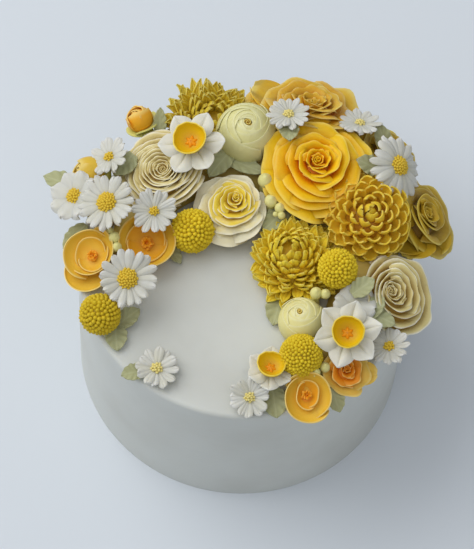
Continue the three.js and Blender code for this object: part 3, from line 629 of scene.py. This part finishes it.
def whorls_of_petals(piece, r, heart, whorls, draw, wavy, power=2.0, flare=1.0, body=1.1):
    """Overlapping petals in whorls of (count, rim as a share of r), each wider than the one inside it."""
    rise, side = petal_grid(15, 27)
    curl = np.maximum(0, rise - 0.8) / 0.2
    thick = body * (1 - 0.72 * rise - 0.08 * np.abs(side) ** 3)
    start = draw(0, TAU)
    for count, share in whorls:
        high = WHORL_HEIGHT * (1 - share ** power) - 0.06 * max(0, 1 - share / 0.3)
        low = high - PETAL_DEPTH - 0.1 * share
        root = 0.03 + (0.46 + 0.4 * (1 - flare)) * share
        late = flare * share
        opening = (1 - late) * swelling(rise) + late * rise ** 1.5
        lap = 0.21 * (1.2 - share)
        flat = (0.08 + 0.22 * flare) * (1.02 - share)
        corner = share * np.abs(side) ** 7
        middle = [(1 - share) * part * r for part in heart]
        start += WHORL_TURN
        for petal in range(count):
            bearing = start + TAU * petal / count + draw(-0.14, 0.14)
            grown = share * draw(0.95, 1.04)
            notch = draw(-0.01, 0.05) * share * ridge(side - draw(-0.4, 0.4), 0.25)
            half_span = math.pi / count * draw(1.45, 1.7)
            phase = draw(0, TAU)
            fall = (0.04 + 0.1 * share) * side ** 2 + 0.2 * corner + draw(0, 0.04)
            ruffle = 0.024 * share * np.sin(5 * side + phase) * rise ** 2
            ruffle = wavy * (ruffle + 0.008 * np.sin(13 * side + phase) * curl)
            radius = (root + (grown - root) * opening) * (1 + (lap * side + flat * side ** 2) * rise)
            radius = radius * (1 - 0.1 * corner * rise) + ruffle - notch * rise ** 3
            radius = radius + 0.03 * late * curl ** 2
            height = low + (high - low - fall * rise) * swelling(rise) ** 0.9
            height = height + ruffle - 0.015 * share * curl ** 2
            curved(piece, bearing, half_span, r * radius, r * height, thick, middle,
                   rim=rise, tone=draw(0, 1), deep=share)


# Each rose's base colour is painted shade at its petal roots; the golden one carries its painted orange
# shade far up the petals.
rose_finishes = {
    "golden": cream("golden_rose", "#f09006", "#fac80e", "#fcda58", edge_from=0.9, patch=0.4, sheer=0.3,
                    body_from=0.78),
    "amber": cream("amber_rose", "#c87a08", "#e2b736", "#ecd474", edge_from=0.86, patch=0.55, sheer=0.3),
    "olive": cream("mustard_rose", "#80600e", "#c8a428", "#e8d264", edge_from=0.9, patch=0.5),
    "orange": two_tone("orange_rose", "#ee921c", "#e8be4e", "#f2d47c", "#e0860e"),
    "pale": two_tone("pale_rose", "#f2d446", "#ece6c6", "#f6f1d4", "#dab02a"),
}

for number, (name, r, at, lean, heart, colour, side_petals, whorls) in enumerate(ROSE_ROWS):
    draw = np.random.default_rng(400 + number).uniform
    rose = Piece(placed(at, lean))
    whorls_of_petals(rose, r, heart, whorls, draw, ROSE_WAVES[colour])
    along, side = petal_grid(14, 19)
    for bearing, reach, broad, own_lean in side_petals:
        path = r * np.hstack([0.2 + (reach - 0.2) * along, -0.24 + 0.34 * along - 0.1 * along ** 3])
        half_width = broad * r * (0.45 + 0.55 * np.minimum(1, along / 0.5)) * rounded_end(along, 0.5, 1.02)
        bend = r * (0.1 * side ** 2 + 0.03 * np.sin(6 * side + bearing)) * along
        rose.place = placed(at, own_lean)
        tongue(rose, math.radians(bearing), path, half_width, bend, 1.1 - 0.75 * along,
               rim=0.3 + 0.7 * along, tone=0.1, deep=1.0)
    rose.place = placed(at, lean)
    # The coil and the nail ball take low rim marks, so the base colour shows on them as painted shade in the
    # middle.
    coil(rose, r, 1.7, (0.01, 0.07), (0.2, 0.37), heart, light=0.7, tone=0.3, deep=0.0)
    nail_ball(rose, r, 0.72, -0.24, 0.14, 2, heart, rim=0.05, deep=0.2)
    foot(rose, at, 0.45 * r, -0.36 * r)
    rose.make(name.replace("rose", "rose_flower"), name, ROSE_SLOTS[colour], rose_finishes[colour])

# The ivory ranunculus
# Dozens of paper-thin ivory petals stand close together, whorl within whorl, round a tight coil.
# The cream between them is painted gold as shade, so that every rim shows as a pale line.

# name, reach, heart off centre, place, lean, how wavy the rims are, whorls
RANUNCULUS_ROWS = [
    ("ranunculus_left", 19.6, (0.18, -0.16), (-41.5, 37.5, 12), (-175, 18), 1.0,
     [(3, 0.13), (3, 0.2), (3, 0.28), (3, 0.38), (3, 0.47), (4, 0.56), (4, 0.66), (4, 0.75),
      (5, 0.84), (5, 0.93), (5, 1.0)]),
    ("ranunculus_right", 18.6, (-0.48, -0.06), (68.8, -13.2, 6.2), (-14, 31), 1.8,
     [(2, 0.12), (2, 0.21), (3, 0.32), (3, 0.46), (3, 0.64), (3, 0.82), (4, 1.0)]),
]
DOME_POWER = 2.4
# The dark gold base colour, over all but the upper rims, is painted shade between the petals, on the coil
# and on the nail ball.
paper_petals = cream("ivory_ranunculus", "#a8822a", "#e8da9a", "#fdfae4", edge_from=0.86, patch=0.4,
                     body_from=0.95, sheer=0.1)

for number, (name, r, heart, at, lean, wavy, whorls) in enumerate(RANUNCULUS_ROWS):
    draw = np.random.default_rng(500 + number).uniform
    ranunculus = Piece(placed(at, lean))
    whorls_of_petals(ranunculus, r, heart, whorls, draw, wavy, power=DOME_POWER, flare=0.55, body=0.95)
    coil(ranunculus, r, 2.0, (0.015, 0.09), (0.2, 0.38), heart, light=0.6)
    nail_ball(ranunculus, r, 0.86, -0.2, 0.24, DOME_POWER, heart, rim=0.1)
    foot(ranunculus, at, 0.45 * r, -0.3 * r)
    ranunculus.make("ivory_" + name, name, "cream_petals", paper_petals)

# The shut ranunculus
# Smooth petals of pale green or primrose cream are wrapped into an egg, each half-way round it or more.
# Their rims wind up to a small open swirl at the tip.

# name, radius, place, lean, turn, colour
WRAPPED_ROWS = [
    ("ranunculus_green", 13.6, (-4, 58.5, 14), (-90, 2), 30, "green"),
    ("ranunculus_bud", 10.4, (26.5, -29, 6), (150, 12), 0, "primrose"),
]
# latitude of the rims in degrees, size as a share of the flower's, petals
WRAPPED_LAYERS = [(81, 0.87, 2), (77, 0.89, 3), (71, 0.92, 3), (62, 0.955, 3), (46, 1.0, 3)]
WRAPPED_FROM = -42
wrapped_finishes = {
    "green": cream("pale_green_petals", "#bcac4c", "#e8e2a0", "#eeeab4", edge_from=0.93, patch=0.25),
    "primrose": cream("primrose_petals", "#d2b83a", "#f0e8a0", "#f4efba", edge_from=0.93, patch=0.25),
}
wrapped_heart = cream("wrapped_heart", "#b8861c", "#dcb43a", "#ecd670")


def globe(lowest, highest, rings, sides):
    """A ball of radius 1, as a stack of rings between two latitudes in degrees."""
    latitude = np.radians(np.linspace(lowest, highest, rings))[:, None]
    return around(np.cos(latitude), full_turn(sides), np.sin(latitude))


for number, (name, r, at, lean, spin, colour) in enumerate(WRAPPED_ROWS):
    draw = np.random.default_rng(600 + number).uniform
    bud = Piece(placed(at, lean, spin))
    rise, side = petal_grid(17, 27)
    for layer, (top, size, count) in enumerate(WRAPPED_LAYERS):
        swell = r * size * (1 + 0.03 * side + 0.025 * (side ** 2 - 0.5) + 0.008 * rise ** 6)
        for petal in range(count):
            bearing = TAU * (petal + 0.37 * layer) / count + draw(-0.1, 0.1)
            peak = top - 0.14 * (90 - top) * (side ** 2 + side)
            peak = peak - 7 * np.abs(side) ** 5 + 2 * np.sin(3 * side + petal)
            latitude = np.radians(WRAPPED_FROM + (peak - WRAPPED_FROM) * rise)
            radius = swell * np.cos(latitude)
            height = 0.95 * swell * np.sin(latitude)
            curved(bud, bearing, math.pi / count * 1.6, radius, height, 0.8 - 0.5 * rise,
                   rim=0.45 + 0.55 * rise ** 2, tone=draw(0, 0.7))
    coil(bud, r, 2.0, (0.02, 0.17), (0.5, 0.85), tone=0.6, skin=1)
    bud.solid(globe(-70, 68, 10, 24) * (0.82 * r, 0.8 * r, 0.76 * r), rim=0.3)
    foot(bud, at, 0.5 * r, -0.6 * r)
    bud.make(name + "_flower", name, "pale_green_petals", wrapped_finishes[colour], wrapped_heart)

# The cup flowers
# Two broad golden petals stand round an open bowl and two more inside them, all with a thin pale rim.
# Deep orange dots and curls are piped in the middle. One flower has one more petal, low on a side.

# name, reach, inner bowl, its squeeze, its tone, heart off centre, low petal, place, lean, turn
CUP_ROWS = [
    ("cup_left_inner", 11.6, 0.7, 0.0, 0.35, (-0.06, 0.0), None, (-44.5, 3, 8), (-85, 16), 60),
    ("cup_left_outer", 10.6, 0.66, 0.08, 0.8, (0.08, -0.06), (-100, 0.75), (-69, -4, 5), (-150, 20), 0),
    ("cup_front", 10, 0.5, 0.12, 0.5, (-0.02, 0.14), None, (31, -65, 4), (-80, 20), 0),
]
CUP_SPAN = 1.95
LOW_PETAL_SPAN = 1.25
CUP_DOTS = 9
CUP_CURLS = 4
cup_petals = two_tone("orange_cup_petals", "#eca824", "#e7bb3c", "#efd27c", "#dc980e")
cup_heart = cream("orange_cup_heart", "#ea8c10", "#f09e1c", "#f4ba44", edge_from=0.8, patch=0.2)

for number, (name, r, inner, oval, gold, heart, low_petal, at, lean, spin) in enumerate(CUP_ROWS):
    draw = np.random.default_rng(700 + number).uniform
    cup_flower = Piece(placed(at, lean, spin))
    rise, side = petal_grid(14, 41)
    heart_at = [part * r for part in heart]
    bowls = [(1.0, 0.46, 0.34, (0, 0), 0, 1.0), (inner, 0.26, 0.2, heart_at, oval, gold)]
    for share, high, root, middle, squeeze, deep in bowls:
        start = draw(0, TAU)
        for bearing, kind in ((start, 0), (start + math.pi, 1)):
            wave = 0.03 * np.sin(2.3 * side + draw(0, TAU)) + 0.012 * np.sin(9 * side + kind)
            radius = root + (share - root) * swelling(rise) ** 0.9 + 0.06 * rise ** 5
            radius = r * (radius * (1 + 0.09 * side * (1 - 0.6 * side ** 6) * rise) + wave * rise ** 2)
            radius = radius * (1 - squeeze * np.cos(2 * (bearing + CUP_SPAN * side)))
            fall = (0.1 * side ** 2 + 0.22 * side ** 10) * rise
            height = r * (-0.08 + (high + 0.08 + wave) * rise ** 1.5 - fall)
            curved(cup_flower, bearing, CUP_SPAN, radius, height, 1.0 - 0.55 * rise, middle,
                   rim=0.1 + 0.9 * rise, tone=draw(0, 1), deep=deep)
    if low_petal:
        bearing, reach = low_petal
        round_off = np.cos(np.pi / 2 * side)
        radius = r * (0.45 + (0.45 + reach * round_off ** 0.8) * swelling(rise) ** 0.9)
        height = r * (-0.25 + (0.25 + 0.2 * round_off) * rise ** 1.4)
        curved(cup_flower, math.radians(bearing - spin), LOW_PETAL_SPAN, radius, height, 1.1 - 0.6 * rise,
               rim=rise, tone=0.2, deep=1.0)
    along, side = petal_grid(8, 7)
    path = r * np.hstack([0.04 + 0.13 * along, -0.04 + 0.18 * np.sin(1.9 * along)])
    half_width = 0.12 * r * (1 - 0.5 * along ** 2)
    fold = 0.08 * r * side ** 2
    for curl in range(CUP_CURLS):
        bearing = TAU * curl / CUP_CURLS + draw(-0.3, 0.3)
        tongue(cup_flower, bearing, path, half_width, fold, 0.6, heart_at, rim=along, skin=1)
    spots = draw(-0.2, 0.2, (CUP_DOTS, 2)) * r + heart_at
    centres = np.hstack([spots, np.full((CUP_DOTS, 1), 0.04 * r)])
    dots(cup_flower, centres, np.tile([0, 0, 1.0], (CUP_DOTS, 1)), 0.075 * r, rim=0.9, skin=1)
    nail_ball(cup_flower, r, 0.36, -0.1, 0.0, 3, heart, rim=0.5, skin=1)
    foot(cup_flower, at, 0.42 * r, -0.3 * r)
    cup_flower.make(name + "_flower", name, "orange_petals", cup_petals, cup_heart)

# The chrysanthemums
# Long plump petals with a ridge along each are drawn up one by one from a mound. The middle ones stand and
# lean in, and the lowest droop. The back flower is darker, and its petals run out to sharper points.

# name, reach, height, heart off centre, petals, breadth, how blunt a petal is, place, lean
MUM_ROWS = [
    ("mum_front", 24.4, 0.54, (-0.22, 0.16), 140, 0.112, 8, (23.2, -1.6, 7), (-90, 3)),
    ("mum_back", 26.8, 0.52, (0, 0), 175, 0.122, 3, (-19.8, 64.4, 6.4), (20, 2)),
]
mum_petals = {
    "mum_front": cream("mustard_petals", "#dab428", "#efd43c", "#f4e270", edge_from=0.7, patch=0.35,
                       sheer=0.3),
    "mum_back": cream("shaded_petals", "#b08e1c", "#dec43c", "#eada78", edge_from=0.7, patch=0.45,
                      sheer=0.3),
}

for number, (name, r, tall, heart, petals, broad, blunt, at, lean) in enumerate(MUM_ROWS):
    draw = np.random.default_rng(800 + number).uniform
    mum = Piece(placed(at, lean))
    along, side = petal_grid(12, 9)
    for petal in range(petals):
        share = math.sqrt((petal + 0.4) / petals)
        sweep = draw(-0.18, 0.18) * along ** 2
        bearing = GOLDEN_TURN * petal + draw(-0.1, 0.1) + sweep
        length = r * draw(0.86, 1.05)
        tip_reach = 0.06 + 0.94 * share * min(1, 0.5 + share)
        tip_height = tall * (1 - share ** 2) - 0.1 * share ** 6 + draw(-0.06, 0.06)
        tip = np.array([tip_reach, tip_height]) * length
        root = np.array([0.1 + 0.3 * share, -0.2 + 0.14 * (1 - share)]) * r
        knee = np.array([0.17 + 0.6 * share, tall * (0.7 - 0.9 * share ** 1.5)]) * r
        curve = (1 - along) ** 2 * root + 2 * (along * (1 - along)) * knee + along ** 2 * tip
        width = broad * r * draw(0.85, 1.1) * (0.45 + 0.55 * np.sin(np.pi * along ** 1.2))
        width = width * (1 - 0.8 * along ** blunt)
        bend = r * (0.035 * side ** 2 + 0.01 * np.cos(2.5 * np.pi * side))
        tongue(mum, bearing, curve, width, bend, 1.4 - 0.8 * along ** 3 - 0.5 * side ** 2,
               [(1 - share) * part * r for part in heart],
               rim=along * (0.75 + 0.25 * side ** 2), tone=draw(0, 1))
    # The nail ball takes the base colour in full, as painted shade between the petals.
    nail_ball(mum, r, 0.66, -0.2, 0.3, 2, heart, rim=0.0, tone=1)
    foot(mum, at, 0.42 * r, -0.32 * r)
    mum.make(name.replace("mum", "chrysanthemum"), name, "mustard_petals", mum_petals[name])

# The dahlia
# Scoops of mustard cream are piped all over a ball in spirals, each like the open end of a quill.
# Their rims are thin and light, their hollows are painted in brown shade, and those to the left are more
# pointed.
DAHLIA_RADIUS = 20.5
DAHLIA_FLAT = 0.8
DAHLIA_PLACE = (52.8, 21, 12)
DAHLIA_LEAN = (-70, 12)
SCOOPS = 78
LOWEST_SCOOP = math.radians(108)
# The brown base colour is painted shade in the hollows of the scoops.
scoop_cream = cream("dahlia_scoops", "#b4801a", "#f4d03c", "#f0d258", edge_from=0.84, patch=0.25,
                    body_from=0.45, sheer=0.3)

r = DAHLIA_RADIUS
draw = np.random.default_rng(900).uniform
pompon = Piece(placed(DAHLIA_PLACE, DAHLIA_LEAN))
along, side = petal_grid(13, 13)
end = np.maximum(0, along - 0.7) / 0.3
for scoop in range(SCOOPS):
    share = (scoop + 0.6) / SCOOPS
    angle = math.acos(1 - share * (1 - math.cos(LOWEST_SCOOP)))
    bearing = GOLDEN_TURN * scoop + draw(-0.06, 0.06)
    leftward = ((1 - math.cos(bearing)) / 2) ** 2
    out = np.array([math.sin(angle), DAHLIA_FLAT * math.cos(angle)])
    up = np.array([-math.cos(angle), math.sin(angle)])
    reach = 0.45 + 0.55 * along * draw(0.92, 1.04)
    path = r * (reach * out + (0.16 * along ** 2.5 - 0.03) * up)
    width = (2.6 + 1.0 * share ** 0.5) * (0.5 + 0.5 * swelling(along, 0.8))
    width = width * (1 - (0.12 + 0.75 * leftward) * end ** 3)
    trough = 2.5 * side ** 2 * (1 - 0.45 * along ** 3) + 1.3 * along ** 6 * (1 - leftward)
    tongue(pompon, bearing, path, width, trough, 1.1 - 0.4 * along - 0.1 * side ** 2,
           rim=along * (0.7 + 0.3 * side ** 2) + 0.12 * along ** 6, tone=draw(0, 1))
# The ball under the scoops is all brown base colour: painted shade.
pompon.solid(globe(-65, 80, 12, 28) * (0.66 * r, 0.66 * r, 0.55 * r), rim=0.0, tone=1)
foot(pompon, DAHLIA_PLACE, 0.42 * r, -0.4 * r)
pompon.make("pompon_dahlia", "dahlia", "mustard_petals", scoop_cream)

# The craspedias
# Balls covered all over with tiny drops of bright mustard cream from a fine tip.
# The drops follow spirals, so that the ball looks knitted.

# name, radius, drops on a whole ball, place, lean, how light the drops are (painted shade: lower on the
# balls that lie in shade)
CRASPEDIA_ROWS = [
    ("craspedia_right", 8.2, 270, (40.5, -8.4, 19.2), (-60, 25), 0.85),
    ("craspedia_front", 9.1, 370, (27, -48, 11), (-90, 18), 0.5),
    ("craspedia_left_inner", 9.2, 280, (-25, 9.5, 9.5), (-60, 12), 0.75),
    ("craspedia_left_front", 8.5, 250, (-62.5, -34.5, 9), (-150, 20), 0.35),
]
COVERED_SHARE = 0.86
TONES = 4
knitted = cream("mustard_dots", "#b09414", "#e8ca26", "#f0da50", edge_from=0.85, patch=0.4, rough=0.65)

for number, (name, r, total, at, lean, light) in enumerate(CRASPEDIA_ROWS):
    draw = np.random.default_rng(1000 + number).uniform
    puff = Piece(placed(at, lean))
    drop = np.arange(int(total * COVERED_SHARE)) + 0.5
    high = 1 - 2 * drop / total
    level = np.sqrt(1 - high ** 2)
    angle = GOLDEN_TURN * drop
    axes = np.stack([level * np.cos(angle), level * np.sin(angle), high], axis=1)
    sizes = 2.1 * r / math.sqrt(total) * draw(0.85, 1.15, len(axes))
    centres = axes * r * 0.94
    for tone in range(TONES):
        chosen = slice(tone, None, TONES)
        dots(puff, centres[chosen], axes[chosen], sizes[chosen], tall=1.25, sides=6,
             rim=light, tone=tone / TONES)
    # The ball under the drops is all base colour: painted shade between the drops.
    puff.solid(0.95 * r * globe(-70, 85, 12, 24), rim=0.0, tone=1)
    foot(puff, at, 0.42 * r, -0.85 * r)
    puff.make(name.replace("craspedia", "craspedia_ball"), name, "mustard_petals", knitted)

# The small buds
# Two petals inside three stand in a lime calyx of four. The yellow bud is nearly shut, and the orange one is
# squat and half open.

# name, radius, height for its width, place, lean, slot, and the deep, middle and pale colour of its petals
BUD_ROWS = [
    ("bud_yellow", 7.7, 1.05, (-72.4, 35.4, 6.8), (172, 68), "pale_yellow_petals",
     "#cc921c", "#dfba3e", "#e8cf74"),
    ("bud_orange", 5.8, 0.8, (-52.8, 63.5, 9), (140, 40), "orange_petals",
     "#e48e12", "#f3b028", "#f7d474"),
]
# lowest and highest latitude in degrees, girth, petals, skin
BUD_WHORLS = [(-40, 84, 0.8, 2, 0), (-45, 66, 0.95, 3, 0), (-75, -20, 1.04, 4, 1)]
calyx = cream("lime_calyx", "#9aa03c", "#c8c658", "#d9d67e")

for number, (name, r, squat, at, lean, slot, base, body, light) in enumerate(BUD_ROWS):
    draw = np.random.default_rng(1100 + number).uniform
    bud = Piece(placed(at, lean))
    rise, side = petal_grid(15, 21)
    opening = (1.4 - 1.27 * squat) * rise ** 4
    for low, top, girth, petals, skin in BUD_WHORLS:
        for petal in range(petals):
            bearing = TAU * (petal + 0.3 * girth) / petals + draw(-0.15, 0.15)
            peak = top - 24 * np.abs(side) ** 3 + 5 * np.sin(4 * side + petal)
            latitude = np.radians(low + (peak - low) * rise)
            swell = r * girth * (1 + 0.1 * side * rise + opening)
            radius = swell * np.cos(latitude)
            height = squat * swell * np.sin(latitude)
            curved(bud, bearing, 1.5 * math.pi / petals, radius, height, 1.1 - 0.6 * rise,
                   rim=0.3 + 0.7 * rise, tone=draw(0, 1), skin=skin)
    nail_ball(bud, r, 0.8, -0.6, 0.8, 2, rim=0.4)
    foot(bud, at, 0.6 * r, -0.6 * r, skin=1)
    bud.make("small_" + name, name, slot, cream(name + "_petals", base, body, light, edge_from=0.85), calyx)

# The berries
# Round drops of pale green cream, each drawn off to a tiny nub. A group shares one short piped stem.

# name, and the middle and radius of each drop
BERRY_ROWS = [
    ("berries_left", [(-59.2, 1.8, 12.5, 2.6), (-57.7, -2.6, 12, 2.2), (-61.4, 5, 11.5, 1.9)]),
    ("berry_middle", [(5.8, 34, 16, 3.4)]),
    ("berries_middle", [(9, 24.8, 14.5, 3), (13.2, 21.6, 14.5, 2.4), (14.2, 18.2, 14, 1.8),
                        (11.4, 18.6, 14, 1.2)]),
    ("berries_right", [(31.8, -18.6, 14, 2.7), (36, -18.7, 14, 2.3)]),
    ("berries_front", [(37.9, -51.8, 9, 2.3), (33.9, -54.9, 9.6, 2.2)]),
]
NUB_HEIGHT = 0.22
NUB_LATITUDE = 1.36
berry_cream = cream("berry_buttercream", "#bcb24e", "#e6e098", "#f0ecb4", edge_from=0.9, patch=0.25,
                    rough=0.45)

for name, balls in BERRY_ROWS:
    berries = Piece()
    turn = full_turn(22)
    latitude = np.radians(np.linspace(-80, 78, 14))[:, None]
    nub = NUB_HEIGHT * ridge(latitude - NUB_LATITUDE, 0.13)
    drop = around(np.cos(latitude), turn, np.sin(latitude) + nub)
    for x, y, high, r in balls:
        berries.solid(r * drop + (x, y, CAKE_HEIGHT + high), rim=0.7, tone=r % 1)
    x, y, high, r = balls[0]
    girth = r * np.array([0.6, 0.7, 0.9])[:, None]
    level = CAKE_HEIGHT + np.array([high - 0.5 * r, 0.5 * high, -FOOT_DEPTH])[:, None]
    stem = around(girth, turn, level, (x, y))
    berries.solid(stem[:, ::-1], rim=0.4)
    berries.make("piped_" + name, name, "berries", berry_cream)

# The leaves
# Sage green buttercream from a leaf tip: one press and pull gives the ruffled sides, the fold with its
# vein and the point. A leaf of two blades is piped in two strokes.

# name, and the root, tip and width of each blade
LEAF_ROWS = [
    ("leaf_left_outer", [((-78, 29, 4), (-94, 34, 3), 10)]),
    ("leaf_left_low", [((-73, 12.5, 1), (-82, 0, 0), 8)]),
    ("leaf_left_back", [((-54, 43, 14), (-61.8, 33.2, 11.5), 11)]),
    ("leaf_back_left", [((-43.4, 57, 7), (-44, 68, 14), 6)]),
    ("leaf_left_inner", [((-36.5, 6, 2.4), (-29, -3.5, 1.6), 6)]),
    ("leaf_front_left", [((-55.5, -37, 2), (-45.5, -28, 3), 9), ((-56, -35.5, 2), (-53.6, -48.4, 1.4), 10)]),
    ("leaf_alone", [((-41, -56.5, 1.3), (-51, -60, 1.3), 8)]),
    ("leaf_middle", [((-10.5, 50, 12), (-19.5, 36, 11), 10), ((-12.5, 46, 11.5), (5, 40, 11), 8.5)]),
    ("leaf_back_middle", [((14, 58.8, 26), (15.4, 47.4, 29.5), 9)]),
    ("leaf_centre", [((16.5, 24.5, 8), (6.5, 12.5, 8), 10)]),
    ("leaf_right_back", [((57, 41.5, 18.5), (45.5, 44, 23.5), 9.5)]),
    ("leaf_back_right", [((60, 56.5, 10), (54.5, 66.6, 17), 8)]),
    ("leaf_right_upper", [((47.6, -19.6, 17), (57, -12.9, 20.5), 9)]),
    ("leaf_right_inner", [((56, -28, 12), (61, -17, 15.5), 7.5),
                          ((55.5, -25.5, 12.5), (67.5, -29.5, 10), 8.5)]),
    ("leaf_bud_side", [((17, -15, 2), (14, -30.5, 1.6), 11)]),
    ("leaf_front_middle", [((15.5, -60, 1.4), (18.5, -73.5, -1), 12)]),
    ("leaf_front_right", [((41.5, -58, 1), (46, -67, -4), 8)]),
]
LEAF_STATIONS = [0, 0.15, 0.3, 0.48, 0.64, 0.8, 0.88, 1]
LEAF_HALF_WIDTHS = [0.2, 0.37, 0.48, 0.5, 0.46, 0.34, 0.24, 0.02]
PLEATS = 4
sage = cream("sage_leaf", "#96966a", "#b4b68c", "#cccea8", edge_from=0.7, patch=0.35, rough=0.65)

for number, (name, blades) in enumerate(LEAF_ROWS):
    leaf = Piece()
    along, side = petal_grid(26, 15)
    half = np.interp(along, LEAF_STATIONS, LEAF_HALF_WIDTHS)
    pleat = np.cos(np.pi * (2 * PLEATS * along - 2.2 * np.abs(side) + number)) * np.abs(side) ** 1.2
    vein = ridge(side, 0.1)
    lift = 0.34 * half * np.abs(side) + 0.06 * pleat * np.sin(np.pi * along)
    lift = lift + 0.035 * vein + 0.06 * along ** 2
    for root, tip, width in blades:
        root, tip = np.array(root, float), np.array(tip, float)
        length = np.linalg.norm(tip - root)
        forward = (tip - root) / length
        sideways = np.cross((0, 0, 1), forward)
        sideways /= np.linalg.norm(sideways)
        leaf.place = np.eye(4)
        leaf.place[:3, :3] = np.stack([forward, sideways, np.cross(forward, sideways)], axis=1)
        leaf.place[:3, 3] = root + (0, 0, CAKE_HEIGHT)
        offset = half * width * side * (1 + 0.05 * pleat)
        blade = np.stack(np.broadcast_arrays(along * length, offset, width * lift), axis=2)
        # The rim mark paints light and shade: paler on the raised pleats and as a highlight along the vein,
        # darker in the pleats' troughs.
        leaf.shell(blade, 1.0 - 0.5 * np.abs(side),
                   rim=0.45 + 0.2 * pleat + 0.4 * vein, tone=number * 0.31 % 1)
    leaf.make("sage_" + name, name, "leaves", sage)

FLOOR_REACH = 3.0
# name, place, height of the point that it is turned to, size, power, colour
LAMPS = [
    ("window", (-1.2, 0.5, 1.55), 0.1, 2.0, 28.5, (0.985, 0.985, 0.98)),
    ("fill", (0.0, -0.6, 2.0), 0.08, 1.4, 6.0, (1.0, 0.99, 0.96)),
]
WORLD_COLOUR = (0.87, 0.91, 0.97, 1)
WORLD_STRENGTH = 0.45
CAMERA_PLACE = (-0.00363, -0.6115, 1.3739)
CAMERA_DOWN = 64.73
CAMERA_ROLL = 4.35
LENS = 208.08
SENSOR = 36
CLIPS = (0.05, 20)

floor_mesh = bpy.data.meshes.new("floor")
corners = [(x * FLOOR_REACH, y * FLOOR_REACH, 0) for x, y in ((-1, -1), (1, -1), (1, 1), (-1, 1))]
floor_mesh.from_pydata(corners, [], [(0, 1, 2, 3)])
floor = bpy.data.objects.new("floor", floor_mesh)
bpy.context.scene.collection.objects.link(floor)
paper = Finish("pale_floor", Base_Color=tint("#d6dce2"), Roughness=0.8)
floor_mesh.materials.append(paper.material)
floor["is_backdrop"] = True

for name, place, aim_height, size, power, colour in LAMPS:
    light = bpy.data.lights.new(name, "AREA")
    light.size = size
    light.energy = power
    light.color = colour
    holder = bpy.data.objects.new(name, light)
    holder.location = place
    away = np.array(place) - (0, 0, aim_height)
    yaw = math.atan2(away[0], -away[1])
    holder.rotation_euler = (math.acos(away[2] / np.linalg.norm(away)), 0, yaw)
    bpy.context.scene.collection.objects.link(holder)

world = bpy.data.worlds.new("studio")
world.use_nodes = True
background = world.node_tree.nodes["Background"]
background.inputs["Color"].default_value = WORLD_COLOUR
background.inputs["Strength"].default_value = WORLD_STRENGTH
bpy.context.scene.world = world

camera_data = bpy.data.cameras.new("camera")
camera_data.lens = LENS
camera_data.sensor_width = SENSOR
camera_data.clip_start, camera_data.clip_end = CLIPS
camera = bpy.data.objects.new("camera", camera_data)
looking_down = Matrix.Rotation(math.radians(90 - CAMERA_DOWN), 4, "X")
rolled = Matrix.Rotation(math.radians(CAMERA_ROLL), 4, "Z")
camera.matrix_world = Matrix.Translation(CAMERA_PLACE) @ looking_down @ rolled
bpy.context.scene.collection.objects.link(camera)
bpy.context.scene.camera = camera
bpy.context.scene.view_settings.view_transform = "Standard"

sizes = [[list(corner) for corner in box] for box in (cad_box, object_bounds())]
